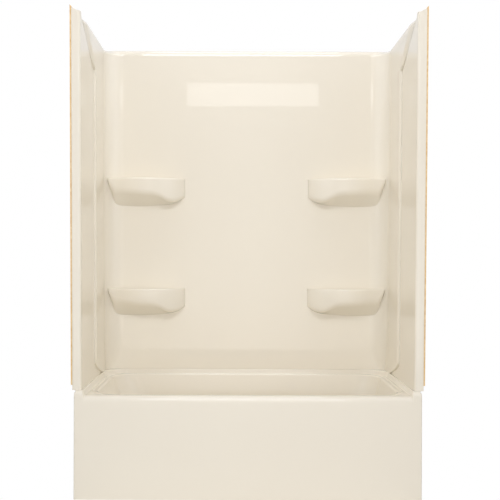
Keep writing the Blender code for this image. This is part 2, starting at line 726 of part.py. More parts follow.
def shelf_section(share, rim, skin):
    """One upright section of a left shelf; a skin above zero gives the hollow inside it."""
    start = CORNER_RADIUS * SHELF_START_ANGLE
    end = CORNER_RADIUS * math.pi / 2 + SHELF_FLAT_RUN
    rear = wall_point(mix(start, end, share), SEAT_GAP)
    bulge = (4 * share * (1 - share)) ** SHELF_BULGE_POWER
    reach = SHELF_END_REACH + (SHELF_REACH - SHELF_END_REACH) * bulge
    crease, foot = shelf_drops(share)
    dish = SHELF_DISH_DEPTH * min(1, reach / (SHELF_REACH / 2))
    lip = SHELF_LIP_ROUND_SHARE * SHELF_HEIGHT * min(1, reach / (SHELF_REACH / 4))
    if skin == 0:
        outline = [(0, -dish), (1 - 2 * SHELF_LIP_SHARE, -dish), (1 - SHELF_LIP_SHARE, 0),
                   (1 - SHELF_LIP_SHARE / 3, 0), (1, -lip),
                   (SHELF_CREASE_SHARE, -crease * SHELF_HEIGHT),
                   (0, -foot * SHELF_HEIGHT)]
    else:
        inner = 1 - skin / reach
        outline = [(-skin / reach, -dish - skin), (inner - 2 * SHELF_LIP_SHARE, -dish - skin),
                   (inner, -dish - skin - lip),
                   (inner * SHELF_CREASE_SHARE, -crease * SHELF_HEIGHT + skin / 2),
                   (-skin / reach, -foot * SHELF_HEIGHT + 2 * skin)]
    return [spread(Vector((rear.x, rear.y - reach * out, rim + drop)))
            for out, drop in outline]


def make_shelf(name, side, rim):
    """A hollow corner shelf with a shallow dish; side is -1 on the left and 1 on the right."""
    shelf = make_loft(name, [mirrored(shelf_section(step / SHELF_STATIONS, rim, 0), side)
                             for step in range(SHELF_STATIONS + 1)], ALMOND_PLASTIC)
    hollow = make_loft(name + "_hollow",
                       [mirrored(shelf_section(step / SHELF_STATIONS, rim, SHELF_SKIN), side)
                        for step in range(2, SHELF_STATIONS - 1)], None)
    cut(shelf, hollow)


def mirrored(points, side):
    return [Vector((-side * point.x, point.y, point.z)) for point in points]


def make_backer(name, side):
    """A wood strip behind a front flange, on the tub's nailing flange."""
    inner = FACE_X + FLANGE_INNER_RADIUS
    outer = HALF_LENGTH + BACKER_OVERHANG
    front = FRONT_Y + FLANGE_SETBACK + PANEL_WALL + SEAT_GAP
    foot = BORDER_TOP + NAIL_FLANGE_HEIGHT + SEAT_GAP
    top = ROLL_START + TOP_ROLL - WING_STEP + FLANGE_RISE_OUTER + BACKER_STAND_PROUD
    piece = make_box(name, (inner, front, foot), (outer, front + BACKER_THICKNESS, top), PINE)
    for vert in piece.data.vertices:
        if vert.co.z > foot + WELD and vert.co.x < outer - WELD:
            vert.co.z -= BACKER_TOP_FALL
        vert.co = spread(vert.co)
        vert.co.x *= side
    if side < 0:
        piece.data.flip_normals()
    return piece


def make_floor_supports():
    """Foam pad, plywood board and wood runners under the basin's floor."""
    left = -BASIN_RIGHT_X + BACKREST_RUN + FOOT_CURVE_REACH
    right = DRAIN_X - SHOE_FLANGE_RADIUS - DRAIN_BAY_CLEARANCE
    front = FRONT_Y + FRONT_LEDGE + SIDE_RUN + FOOT_CURVE_REACH
    back = BACK_Y - BACK_LEDGE - SIDE_RUN - FOOT_CURVE_REACH
    board_foot = RUNNER_HEIGHT + SEAT_GAP
    board_top = board_foot + BOARD_THICKNESS
    make_box("bottom_board", (left - BOARD_MARGIN, front - BOARD_MARGIN, board_foot),
             (right, back + BOARD_MARGIN, board_top), PLYWOOD)
    underside = FLOOR_HEIGHT - SHELL_WALL - SEAT_GAP
    pad = make_box("floor_pad", (left + PAD_INSET, front + PAD_INSET, board_top + SEAT_GAP),
                   (right - PAD_INSET, back - PAD_INSET, underside), WHITE_FOAM)
    for vert in pad.data.vertices:
        if vert.co.z > underside - WELD:
            vert.co.z += floor_rise(vert.co.x)
    rows = (("runner_front", front - BOARD_MARGIN + RUNNER_INSET),
            ("runner_middle", (front + back) / 2 - RUNNER_WIDTH / 2),
            ("runner_back", back + BOARD_MARGIN - RUNNER_INSET - RUNNER_WIDTH))
    for name, y in rows:
        make_box(name, (left - BOARD_MARGIN, y, 0), (right, y + RUNNER_WIDTH, RUNNER_HEIGHT),
                 PINE)


def make_apron_frame():
    """Wood rails and posts glued to the back of the apron."""
    front = FRONT_Y + SHELL_WALL + SEAT_GAP
    back = front + RAIL_WIDTH
    reach = HALF_LENGTH - APRON_EDGE_RADIUS - RAIL_END_GAP
    rail_foot = APRON_FLAT_HEIGHT - RAIL_HEIGHT
    make_box("apron_bottom_rail", (-reach, front, 0), (reach, back, RAIL_HEIGHT), PINE)
    make_box("apron_top_rail", (-reach, front, rail_foot), (reach, back, APRON_FLAT_HEIGHT),
             PINE)
    for name, place_share in (("left", -1), ("middle", 0), ("right", 1)):
        x = place_share * POST_REACH_SHARE * reach
        make_box("apron_post_" + name, (x - RAIL_HEIGHT / 2, front, RAIL_HEIGHT + SEAT_GAP),
                 (x + RAIL_HEIGHT / 2, back, rail_foot - SEAT_GAP), PINE)


def make_drain():
    """Strainer, washer and shoe at the drain hole."""
    centre = Matrix.Translation((DRAIN_X, WASTE_Y, 0))
    seat = FLOOR_HEIGHT + SEAT_GAP
    top = seat + STRAINER_THICKNESS
    low = seat - BARREL_LENGTH
    inner = BARREL_RADIUS - BARREL_WALL
    strainer = make_turned("drain_strainer", [
        (inner + BARREL_WALL, top), (STRAINER_RADIUS - STRAINER_THICKNESS, top),
        (STRAINER_RADIUS, seat), (BARREL_RADIUS, seat), (BARREL_RADIUS, low), (inner, low),
        (inner, seat)], CHROME, centre, closed=True)
    half_bar = STRAINER_BAR / 2
    reach = (inner + BARREL_RADIUS) / 2
    for name, size in (("strainer_bar_long", (reach, half_bar)),
                       ("strainer_bar_cross", (half_bar, reach))):
        join(strainer, make_box(name, (-size[0], -size[1], low + WELD),
                                (size[0], size[1], low + STRAINER_BAR), None, centre))
    washer_top = FLOOR_HEIGHT - SHELL_WALL - SEAT_GAP
    washer_low = washer_top - WASHER_THICKNESS
    make_turned("drain_washer", [
        (DRAIN_HOLE_RADIUS, washer_top), (SHOE_FLANGE_RADIUS, washer_top),
        (SHOE_FLANGE_RADIUS, washer_low), (DRAIN_HOLE_RADIUS, washer_low)],
        BLACK_RUBBER, centre, closed=True)
    shoe_top = washer_low - SEAT_GAP
    shoe = make_turned("drain_shoe", [
        (0, shoe_top), (SHOE_FLANGE_RADIUS, shoe_top),
        (SHOE_FLANGE_RADIUS, shoe_top - SHOE_FLANGE_THICKNESS),
        (SHOE_RADIUS, shoe_top - SHOE_FLANGE_THICKNESS), (SHOE_RADIUS, SHOE_BOTTOM),
        (0, SHOE_BOTTOM)], WASTE_PLASTIC, centre)
    axis = WASTE_AXIS_HEIGHT
    join(shoe, make_rod("shoe_outlet", (0, 0, axis), (SHOE_OUTLET, 0, axis), FITTING_RADIUS,
                        None, centre))
    cut(shoe, make_rod("shoe_throat", (0, 0, low), (0, 0, shoe_top + CUT_OVERRUN),
                       BARREL_RADIUS + SEAT_GAP, None, centre))
    cut(shoe, make_rod("shoe_chamber", (0, 0, axis - FITTING_BORE), (0, 0, low + BARREL_WALL),
                       SHOE_CHAMBER, None, centre))
    cut(shoe, make_rod("shoe_bore", (0, 0, axis), (SHOE_OUTLET, 0, axis), FITTING_BORE,
                       None, centre))
    cut(shoe, make_rod("shoe_socket", (SHOE_OUTLET - SOCKET_DEPTH, 0, axis),
                       (SHOE_OUTLET + CUT_OVERRUN, 0, axis), SOCKET_RADIUS, None, centre))


def make_tube(name, start, end):
    """A straight waste tube between two points."""
    tube = make_rod(name, start, end, TUBE_RADIUS, CHROME)
    along = (Vector(end) - Vector(start)).normalized() * CUT_OVERRUN
    cut(tube, make_rod(name + "_bore", Vector(start) - along, Vector(end) + along,
                       TUBE_RADIUS - TUBE_WALL, None))


def make_waste():
    """Waste arm, tee and overflow tube."""
    axis = WASTE_AXIS_HEIGHT
    shoe_stop = DRAIN_X + SHOE_OUTLET - SOCKET_DEPTH
    branch_stop = ROD_X - TEE_BRANCH + SOCKET_DEPTH
    make_tube("waste_arm", (shoe_stop + SEAT_GAP, WASTE_Y, axis),
              (branch_stop - SEAT_GAP, WASTE_Y, axis))
    make_tube("overflow_tube", (ROD_X, WASTE_Y, TEE_STOP + SEAT_GAP),
              (ROD_X, WASTE_Y, ELBOW_STOP - SEAT_GAP))
    centre = Matrix.Translation((ROD_X, WASTE_Y, 0))
    tee = make_rod("waste_tee", (0, 0, TEE_BOTTOM), (0, 0, TEE_TOP), FITTING_RADIUS,
                   WASTE_PLASTIC, centre)
    join(tee, make_rod("tee_branch", (-TEE_BRANCH, 0, axis), (0, 0, axis), FITTING_RADIUS,
                       None, centre))
    cut(tee, make_rod("tee_outlet", (0, 0, TEE_BOTTOM - CUT_OVERRUN),
                      (0, 0, TEE_SEAT + CUT_OVERRUN), OUTLET_BORE, None, centre))
    cut(tee, make_rod("tee_bore", (0, 0, TEE_SEAT), (0, 0, TEE_TOP), FITTING_BORE, None,
                      centre))
    cut(tee, make_rod("tee_socket", (0, 0, TEE_STOP), (0, 0, TEE_TOP + CUT_OVERRUN),
                      SOCKET_RADIUS, None, centre))
    cut(tee, make_rod("tee_branch_bore", (-TEE_BRANCH, 0, axis), (0, 0, axis),
                      FITTING_BORE - TUBE_WALL, None, centre))
    cut(tee, make_rod("tee_branch_socket", (-TEE_BRANCH - CUT_OVERRUN, 0, axis),
                      (SOCKET_DEPTH - TEE_BRANCH, 0, axis), SOCKET_RADIUS, None, centre))


def overflow_frame():
    """The end wall's frame at the overflow: X up the wall, Z out of it into the basin."""
    frame = Matrix.Identity(4)
    frame.col[0][:3] = WALL_UP
    frame.col[2][:3] = WALL_NORMAL
    frame.col[3][:3] = OVERFLOW_CENTRE
    return frame


def make_overflow():
    """Elbow, gasket, cover plate and screws at the overflow."""
    frame = overflow_frame()
    gasket_top = -(SHELL_WALL + SEAT_GAP)
    make_turned("overflow_gasket", [
        (OVERFLOW_HOLE_RADIUS, gasket_top), (GASKET_RADIUS, gasket_top),
        (GASKET_RADIUS, gasket_top - GASKET_THICKNESS),
        (OVERFLOW_HOLE_RADIUS, gasket_top - GASKET_THICKNESS)], BLACK_RUBBER, frame,
        closed=True)
    elbow = make_rod("overflow_elbow", (0, 0, FACE_PLACE - FACE_THICKNESS),
                     (0, 0, FACE_PLACE), FACE_RADIUS, WASTE_PLASTIC, frame)
    inside = OVERFLOW_CENTRE + WALL_NORMAL * (FACE_PLACE - FACE_THICKNESS / 2)
    level = PIVOT.z
    head_end = ROD_X + HEAD_BORE
    join(elbow, make_rod("elbow_head", (inside.x + FACE_THICKNESS / 2, WASTE_Y, level),
                         (head_end + HEAD_WALL, WASTE_Y, level), HEAD_RADIUS, None))
    join(elbow, make_rod("elbow_leg", (ROD_X, WASTE_Y, ELBOW_SOCKET_BOTTOM),
                         (ROD_X, WASTE_Y, level), FITTING_RADIUS, None))
    cut(elbow, make_rod("elbow_head_bore", (OVERFLOW_X - CUT_OVERRUN, WASTE_Y, level),
                        (head_end, WASTE_Y, level), HEAD_BORE, None))
    cut(elbow, make_rod("elbow_leg_bore", (ROD_X, WASTE_Y, ELBOW_STOP),
                        (ROD_X, WASTE_Y, level), FITTING_BORE, None))
    cut(elbow, make_rod("elbow_socket", (ROD_X, WASTE_Y, ELBOW_SOCKET_BOTTOM - CUT_OVERRUN),
                        (ROD_X, WASTE_Y, ELBOW_STOP), SOCKET_RADIUS, None))
    plate = make_turned("overflow_plate", [
        (0, PLATE_HEIGHT), (PLATE_CROWN_RADIUS, PLATE_HEIGHT),
        (PLATE_RADIUS, PLATE_HEIGHT / 3), (PLATE_RADIUS, SEAT_GAP),
        (PLATE_RADIUS - PLATE_WALL, SEAT_GAP),
        (PLATE_RADIUS - PLATE_WALL, PLATE_HEIGHT / 3 - PLATE_WALL / 3),
        (PLATE_CROWN_RADIUS - PLATE_WALL / 2, PLATE_HEIGHT - PLATE_WALL),
        (0, PLATE_HEIGHT - PLATE_WALL)], CHROME, frame)
    cut(plate, make_box("plate_slot",
                        (-PLATE_SLOT_HEIGHT / 2, -PLATE_SLOT_WIDTH / 2, -CUT_OVERRUN),
                        (PLATE_SLOT_HEIGHT / 2, PLATE_SLOT_WIDTH / 2, CUT_OVERRUN), None,
                        frame))
    for name, side in (("left", -1), ("right", 1)):
        y = side * SCREW_SPACING
        bottom = FACE_PLACE - SCREW_BITE
        hole = make_rod("screw_hole_" + name, (0, y, bottom - SEAT_GAP), (0, y, CUT_OVERRUN),
                        SCREW_HOLE_RADIUS, None, frame)
        cut(plate, hole)
        cut(elbow, hole)
        seat = PLATE_HEIGHT + SEAT_GAP
        make_turned("plate_screw_" + name, [
            (0, seat + SCREW_HEAD_HEIGHT), (SCREW_HEAD_RADIUS / 2, seat + SCREW_HEAD_HEIGHT),
            (SCREW_HEAD_RADIUS, seat + SCREW_HEAD_HEIGHT / 3), (SCREW_HEAD_RADIUS, seat),
            (SCREW_RADIUS, seat), (SCREW_RADIUS, bottom), (0, bottom)], CHROME,
            frame @ Matrix.Translation((0, y, 0)))


def make_slip_joint(name, place):
    """A slip nut and its washer; place puts the fitting's end at zero, its tube along +Z."""
    washer_top = SEAT_GAP + SLIP_WASHER_THICKNESS
    wall_foot = washer_top + SEAT_GAP
    wall_top = wall_foot + NUT_END_WALL
    make_turned("slip_washer_" + name, [
        (SOCKET_RADIUS, washer_top), (FITTING_RADIUS, washer_top), (FITTING_RADIUS, SEAT_GAP),
        (SOCKET_RADIUS, SEAT_GAP)], BLACK_RUBBER, place, closed=True)
    make_turned("slip_nut_" + name, [
        (SOCKET_RADIUS, wall_top), (NUT_RADIUS - NUT_END_WALL / 2, wall_top),
        (NUT_RADIUS, wall_foot), (NUT_RADIUS, -NUT_GRIP), (FITTING_END_RADIUS, -NUT_GRIP),
        (FITTING_END_RADIUS, wall_foot), (SOCKET_RADIUS, wall_foot)], CHROME, place,
        closed=True)


def make_slip_joints():
    right = Matrix.Rotation(math.pi / 2, 4, "Y")
    left = Matrix.Rotation(-math.pi / 2, 4, "Y")
    down = Matrix.Rotation(math.pi, 4, "X")
    axis = WASTE_AXIS_HEIGHT
    make_slip_joint("shoe", Matrix.Translation((DRAIN_X + SHOE_OUTLET, WASTE_Y, axis)) @ right)
    make_slip_joint("branch", Matrix.Translation((ROD_X - TEE_BRANCH, WASTE_Y, axis)) @ left)
    make_slip_joint("tee", Matrix.Translation((ROD_X, WASTE_Y, TEE_TOP)))
    make_slip_joint("elbow",
                    Matrix.Translation((ROD_X, WASTE_Y, ELBOW_SOCKET_BOTTOM)) @ down)


def make_trip_bracket():
    """A bracket behind the plate with two ears that hold the lever's pin."""
    frame = overflow_frame()
    seat = PLATE_HEIGHT - PLATE_WALL - SEAT_GAP
    high = BRACKET_HALF_HEIGHT
    wide = BRACKET_HALF_WIDTH
    inner = wide - BRACKET_WALL
    back = PIVOT_STANDOFF - BRACKET_BACK
    bracket = make_box("trip_bracket", (-high, -wide, back), (high, wide, seat), CHROME, frame)
    cut(bracket, make_box("bracket_channel", (-high - CUT_OVERRUN, -inner, -CUT_OVERRUN),
                          (high + CUT_OVERRUN, inner, seat - BRACKET_WALL), None, frame))
    cut(bracket, make_box("bracket_window",
                          (-PLATE_SLOT_HEIGHT / 2, -PLATE_SLOT_WIDTH / 2, 0),
                          (PLATE_SLOT_HEIGHT / 2, PLATE_SLOT_WIDTH / 2, CUT_OVERRUN), None,
                          frame))
    far = wide + BRACKET_WALL
    cut(bracket, make_rod("bracket_pin_hole", (0, -far, PIVOT_STANDOFF),
                          (0, far, PIVOT_STANDOFF), PIN_HOLE_RADIUS, None, frame))
    make_rod("trip_pin", (0, -far, PIVOT_STANDOFF), (0, far, PIVOT_STANDOFF), PIN_RADIUS,
             CHROME, frame)


def make_trip_lever():
    """Handle, hub and arm; at rest the arm is up, the handle down and the drain open."""
    rest = Matrix.Translation(PIVOT) @ Matrix.Rotation(-LEVER_SWING / 2, 4, "Y")
    lever = make_rod("trip_lever", (0, -HUB_HALF_WIDTH, 0), (0, HUB_HALF_WIDTH, 0),
                     HUB_RADIUS, CHROME, rest)
    handle_frame = rest @ Matrix.Rotation(END_WALL_TILT, 4, "Y")
    thick = HANDLE_THICKNESS / 2
    join(lever, make_box("lever_handle", (-HANDLE_LENGTH, -HANDLE_WIDTH / 2, -thick),
                         (0, HANDLE_WIDTH / 2, thick), None, handle_frame))
    join(lever, make_box("lever_paddle",
                         (-HANDLE_LENGTH - PADDLE_LENGTH, -PADDLE_WIDTH / 2, -HANDLE_THICKNESS),
                         (-HANDLE_LENGTH, PADDLE_WIDTH / 2, HANDLE_THICKNESS), None,
                         handle_frame))
    tip = ROD_REACH + ARM_OVERHANG
    join(lever, make_rod("lever_arm", (0, 0, 0), (tip, 0, 0), ARM_RADIUS, None, rest))
    far = HUB_HALF_WIDTH + CUT_OVERRUN
    cut(lever, make_rod("lever_bore", (0, -far, 0), (0, far, 0), PIN_HOLE_RADIUS, None, rest))


def make_linkage():
    """The rod that hangs on the lever's arm, and the plunger on its lower end."""
    low = TEE_SEAT + ROD_TRAVEL + SEAT_GAP
    top = low + PLUNGER_HEIGHT
    centre = Matrix.Translation((ROD_X, WASTE_Y, 0))
    plunger = make_turned("plunger", [
        (0, top), (PLUNGER_RADIUS - PLUNGER_CHAMFER, top), (PLUNGER_RADIUS, top - PLUNGER_CHAMFER),
        (PLUNGER_RADIUS, low + PLUNGER_CHAMFER), (PLUNGER_RADIUS - PLUNGER_CHAMFER, low),
        (0, low)], BRASS, centre)
    hole_low = top - PLUNGER_HOLE_DEPTH
    cut(plunger, make_rod("plunger_hole", (0, 0, hole_low), (0, 0, top + CUT_OVERRUN),
                          WIRE_RADIUS + SEAT_GAP, None, centre))
    half_swing = LEVER_SWING / 2
    hang = (WIRE_RADIUS + ARM_RADIUS + SEAT_GAP) / math.cos(half_swing)
    eye = PIVOT.z + ROD_REACH * math.tan(half_swing) - (EYE_RADIUS - hang)
    path = [(0, hole_low + SEAT_GAP), (0, eye - 2 * ROD_BEND_LENGTH),
            (EYE_RADIUS, eye - ROD_BEND_LENGTH)]
    for step in range(EYE_STEPS + 1):
        angle = EYE_TURN * math.pi * step / EYE_STEPS
        path.append((EYE_RADIUS * math.cos(angle), eye + EYE_RADIUS * math.sin(angle)))
    wire = bpy.data.curves.new("linkage_rod", "CURVE")
    wire.dimensions = "3D"
    wire.bevel_depth = WIRE_RADIUS
    wire.bevel_resolution = 2
    wire.use_fill_caps = True
    spline = wire.splines.new("POLY")
    spline.points.add(len(path) - 1)
    for point, (y, z) in zip(spline.points, path):
        point.co = (0, y, z, 1)
    add_object("linkage_rod", wire, BRASS, centre)


make_tub()
make_back_panel()
make_end_panel("left_end_panel", -1)
make_end_panel("right_end_panel", 1)
make_shelf("shelf_upper_left", -1, SHELF_UPPER_RIM)
make_shelf("shelf_upper_right", 1, SHELF_UPPER_RIM)
make_shelf("shelf_lower_left", -1, SHELF_LOWER_RIM)
make_shelf("shelf_lower_right", 1, SHELF_LOWER_RIM)
make_backer("left_flange_backer", -1)
make_backer("right_flange_backer", 1)
make_floor_supports()
make_apron_frame()
make_drain()
make_waste()
make_overflow()
make_slip_joints()
make_trip_bracket()
make_trip_lever()
make_linkage()
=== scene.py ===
"""Almond replacement bath with its wall surround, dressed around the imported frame."""
import json
import math

import bmesh
import bpy
from mathutils import Matrix, Vector


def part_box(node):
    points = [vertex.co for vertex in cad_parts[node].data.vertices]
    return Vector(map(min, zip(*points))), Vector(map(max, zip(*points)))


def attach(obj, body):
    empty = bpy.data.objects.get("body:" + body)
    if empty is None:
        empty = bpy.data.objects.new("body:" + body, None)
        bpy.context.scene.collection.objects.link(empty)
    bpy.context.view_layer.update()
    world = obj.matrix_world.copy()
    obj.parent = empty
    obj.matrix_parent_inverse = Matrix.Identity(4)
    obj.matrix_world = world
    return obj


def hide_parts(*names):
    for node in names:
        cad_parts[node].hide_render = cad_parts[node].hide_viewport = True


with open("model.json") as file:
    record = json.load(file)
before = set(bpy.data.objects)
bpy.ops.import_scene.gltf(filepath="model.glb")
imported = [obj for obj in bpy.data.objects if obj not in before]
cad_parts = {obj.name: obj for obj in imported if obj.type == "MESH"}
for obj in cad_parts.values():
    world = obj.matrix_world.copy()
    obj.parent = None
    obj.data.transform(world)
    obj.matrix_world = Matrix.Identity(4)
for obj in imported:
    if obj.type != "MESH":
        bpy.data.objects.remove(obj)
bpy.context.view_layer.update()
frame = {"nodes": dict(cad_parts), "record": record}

MM = 0.001
BATH = "bath"
ALMOND_SLOT = "almond_plastic"

# Sizes read from the frame
tub_low, tub_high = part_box("tub_shell")
HALF_LENGTH = tub_high.x
FRONT_Y = tub_low.y
BACK_Y = tub_high.y
NAIL_TOP = tub_high.z
WALL_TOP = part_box("back_panel")[1].z

# The tub's sizes, in metres, shared with the frame's shapes
SHELL_WALL = 0.004
SEAT_GAP = 0.0003
NAIL_RISE = 0.020
BORDER_RISE = 0.020
BORDER_ROUND = 0.003
FRONT_LEDGE = 0.045
BACK_LEDGE = 0.045
END_LEDGE = 0.078
LIP = 0.010
LIP_SIDE = 0.007
BULLNOSE = 0.025
WALL_SETBACK = 0.028
SLOPE_RUN = 0.0063
SLOPE_EDGE = 0.003
SLOPE_FOOT = 0.003
SLOPE_FOOT_BACK = 0.0003
SLOPE_FILLET = 1.5 * SLOPE_FOOT
DECK_CORNER = 0.100
BEAD_HEIGHT = 0.004
BEAD_DISTANCE = 0.023
BEAD_HALF_WIDTH = 0.005
BEAD_FADE = 0.040
BEAD_CORNER_FADE = 0.006
BEAD_CORNER_ROOM = 0.008
BEAD_ROOM_MIDDLE = 0.5
BEAD_ROOM_SPREAD = 0.25
APRON_FLAT = 0.372
APRON_LEVELS = (0, 0.12, 0.24, APRON_FLAT)
APRON_EDGE = 0.0055
APRON_RETURN = 0.028
FLOOR_HEIGHT = 0.076
FLOOR_FALL = 0.006
FRONT_CORNER = 0.105
BACK_CORNER = 0.100
FOOT_GROWTH = 0.020
BACKREST_RUN = 0.150
DRAIN_END_RUN = 0.085
SIDE_RUN = 0.045
FOOT_CURVE = 0.070
FOOT_REACH = 0.060
DRAIN_SETBACK = 0.105
DRAIN_BORE = 0.026
DRAIN_BORE_LOW = 0.055
DRAIN_BORE_HIGH = 0.090
OVERFLOW_DROP = 0.106
OVERFLOW_BORE = 0.029
OVERFLOW_BORE_REACH = 0.016

# The walls' sizes
PANEL_WALL = 0.003
TOP_ROLL = 0.022
TOP_CORNER = 0.024
SPREAD_SHARE = 0.0148
FLANGE_OVERHANG = 0.0065
FLANGE_SETBACK = 0.021
FLANGE_INNER = 0.010
FLANGE_ROUND = 0.001
FLANGE_RISE_OUTER = 0.024
FLANGE_RISE_INNER = 0.012
WING_STEP = 0.0075
WING_EDGE = 0.345
WING_TOE_REACH = 0.190
WING_TOE_HEIGHT = 0.068
WING_SWEEP = 0.262
WING_SWEEP_HEIGHT = 0.138
WING_SWEEP_POWER = 0.85
WING_LIP_DEPTH = 0.0032
WING_LIP_SWEPT_DEPTH = 0.0004
WING_LIP_RAMP = 0.008
WING_LIP_SWEPT_RAMP = 0.085
LAP_WIDTH = 0.045
LAP_TOE_REACH = 0.190
LAP_TOE_HEIGHT = 0.095
TOE_POWER = 1.5
EAR_SHARE = 0.05
EAR_END_SHARE = 0.135
CORNER_RADIUS = 0.083
CORNER_RADIUS_LOW = 0.035
CORNER_EASE = 0.200

# The shelves' sizes
SHELF_HEIGHT = 0.127
SHELF_REACH = 0.092
SHELF_END_REACH = 0.004
SHELF_FULLNESS = 0.8
SHELF_START = math.radians(30)
SHELF_FLAT_RUN = 0.2820
SHELF_DISH = 0.007
SHELF_DISH_ROUND = 0.012
SHELF_RIM_ROUND = 0.006
SHELF_LIP = 0.014
SHELF_CREASE_ROUND = 0.022
SHELF_DISH_SHARE = 0.76
SHELF_RIM_SHARE = 0.88
SHELF_TUCK_SHARE = 0.97
SHELF_LOWER_RISE = 0.3985
SHELF_SPACING = 0.5105

# Places worked out from the sizes above
BORDER_TOP = NAIL_TOP - NAIL_RISE
RIM_HEIGHT = BORDER_TOP - BORDER_RISE
PANEL_FOOT = BORDER_TOP + SEAT_GAP
FACE_X = HALF_LENGTH - WALL_SETBACK
FACE_BACK_Y = BACK_Y - WALL_SETBACK
WING_X = FACE_X - WING_STEP
DECK_X = WING_X - SEAT_GAP - SLOPE_RUN
DECK_BACK_Y = FACE_BACK_Y - SEAT_GAP - SLOPE_RUN
DECK_FRONT_Y = FRONT_Y + BULLNOSE
RIM_OUTER_X = HALF_LENGTH - APRON_EDGE
RIM_OUTER_Y = BACK_Y - SHELL_WALL
BORDER_OUTER_CORNER = CORNER_RADIUS_LOW + RIM_OUTER_Y - FACE_BACK_Y
ROLL_START = WALL_TOP - TOP_ROLL
SWEEP_START = ROLL_START - WING_SWEEP_HEIGHT
FLANGE_OUTER = HALF_LENGTH + FLANGE_OVERHANG
BASIN_X = HALF_LENGTH - END_LEDGE
BASIN_FRONT_Y = FRONT_Y + FRONT_LEDGE
BASIN_BACK_Y = BACK_Y - BACK_LEDGE
BASIN_TOP = RIM_HEIGHT - LIP
BASIN_DEPTH = BASIN_TOP - FLOOR_HEIGHT
WASTE_Y = (BASIN_FRONT_Y + BASIN_BACK_Y) / 2
DRAIN_X = BASIN_X - DRAIN_END_RUN - DRAIN_SETBACK
OVERFLOW_Z = RIM_HEIGHT - OVERFLOW_DROP
OVERFLOW_X = BASIN_X - DRAIN_END_RUN * (BASIN_TOP - OVERFLOW_Z) / BASIN_DEPTH
SHELF_LOWER_RIM = RIM_HEIGHT + SHELF_LOWER_RISE
SHELF_UPPER_RIM = SHELF_LOWER_RIM + SHELF_SPACING

# How finely the meshes are divided
ARC_STEPS = 16
EDGE_STEPS = (48, 24, 48, 24)
BEAD_STEPS = 12
LIP_STEPS = 8
SIDE_STEPS = 8
FOOT_STEPS = 16
BORDER_STEPS = 4
SLOPE_STEPS = 5
BULLNOSE_STEPS = 12
EDGE_ARC_STEPS = 8
ROLL_STEPS = 10
END_STEPS = 16
EAR_STEPS = 10
FLANGE_STEPS = 4
LAP_TOE_STEPS = 24
LAP_TOE_CROWDING = 1.8
WALL_STEPS = 12
WING_TOE_STEPS = 20
WING_TOE_CROWDING = 1.6
CORNER_EASE_STEPS = 8
SWEEP_STEPS = 20
WING_LIP_STEPS = 8
WING_STEPS = 12
BACK_CORNER_STEPS = 32
BACK_STEPS = 16
SHELF_STEPS = 72
SHELF_ROUND_STEPS = 6
BORE_SIDES = 64
SHARP_NIB = 0.060
WELD = 0.00001

# Angles in degrees above which an edge is shaded crisp
TUB_CRISP = 35
WALL_CRISP = 50
SHELF_CRISP = 60

# Places in a ring of the deck: the middles of its sharp front corners
FRONT_LEFT = ARC_STEPS // 2
FRONT_RIGHT = ARC_STEPS + EDGE_STEPS[0] + ARC_STEPS // 2


# Small helpers for meshes
def mix(a, b, t):
    return a + (b - a) * t


def smooth(t):
    t = min(1, max(0, t))
    return t * t * (3 - 2 * t)


def shares(steps):
    """Even shares from 0 to 1."""
    return [k / steps for k in range(steps + 1)]


def quarter(steps):
    """Even angles from 0 to a right angle."""
    return [math.pi / 2 * share for share in shares(steps)]


def curve(before, here, after, steps):
    """Points on the quadratic curve that rounds a corner between two points near it."""
    return [tuple((1 - t) ** 2 * a + 2 * t * (1 - t) * b + t * t * c
                  for a, b, c in zip(before, here, after)) for t in shares(steps)]


def new_mesh(name, shape):
    mesh = bpy.data.meshes.new(name)
    shape.to_mesh(mesh)
    shape.free()
    return mesh


def placed(name, data):
    """A new object in the scene, at the origin."""
    thing = bpy.data.objects.new(name, data)
    bpy.context.scene.collection.objects.link(thing)
    return thing


def moulding(name, mesh, node):
    """A piece in glossy almond that takes the place of the frame's node."""
    piece = placed(name, mesh)
    mesh.materials.append(ALMOND)
    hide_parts(node)
    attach(piece, BATH)
    return piece


def baked(piece, angle):
    """Applies a piece's modifiers and shades it smooth with crisp edges above the angle."""
    bpy.context.view_layer.update()
    evaluated = piece.evaluated_get(bpy.context.evaluated_depsgraph_get())
    mesh = bpy.data.meshes.new_from_object(evaluated)
    old = piece.data
    piece.modifiers.clear()
    piece.data = mesh
    bpy.data.meshes.remove(old)
    for face in mesh.polygons:
        face.use_smooth = True
    mesh.set_sharp_from_angle(angle=math.radians(angle))


def bridge(shape, rows, closed, filled=False):
    """Faces between neighbouring rows of points, and over the last row if it is filled."""
    verts = [[shape.verts.new(point) for point in row] for row in rows]
    for outer, inner in zip(verts, verts[1:]):
        count = len(outer)
        for i in range(count if closed else count - 1):
            j = (i + 1) % count
            shape.faces.new((outer[i], outer[j], inner[j], inner[i]))
    if filled:
        shape.faces.new(verts[-1])
    return verts


def sheet(name, patches, wall, node, angle):
    """A smooth open surface, thickened on its hidden side."""
    shape = bmesh.new()
    for rows, closed, filled in patches:
        bridge(shape, rows, closed, filled)
    bmesh.ops.remove_doubles(shape, verts=shape.verts, dist=WELD)
    piece = moulding(name, new_mesh(name, shape), node)
    skin = piece.modifiers.new("wall", "SOLIDIFY")
    skin.thickness = wall
    skin.offset = -1
    skin.use_even_offset = True
    baked(piece, angle)
    return piece


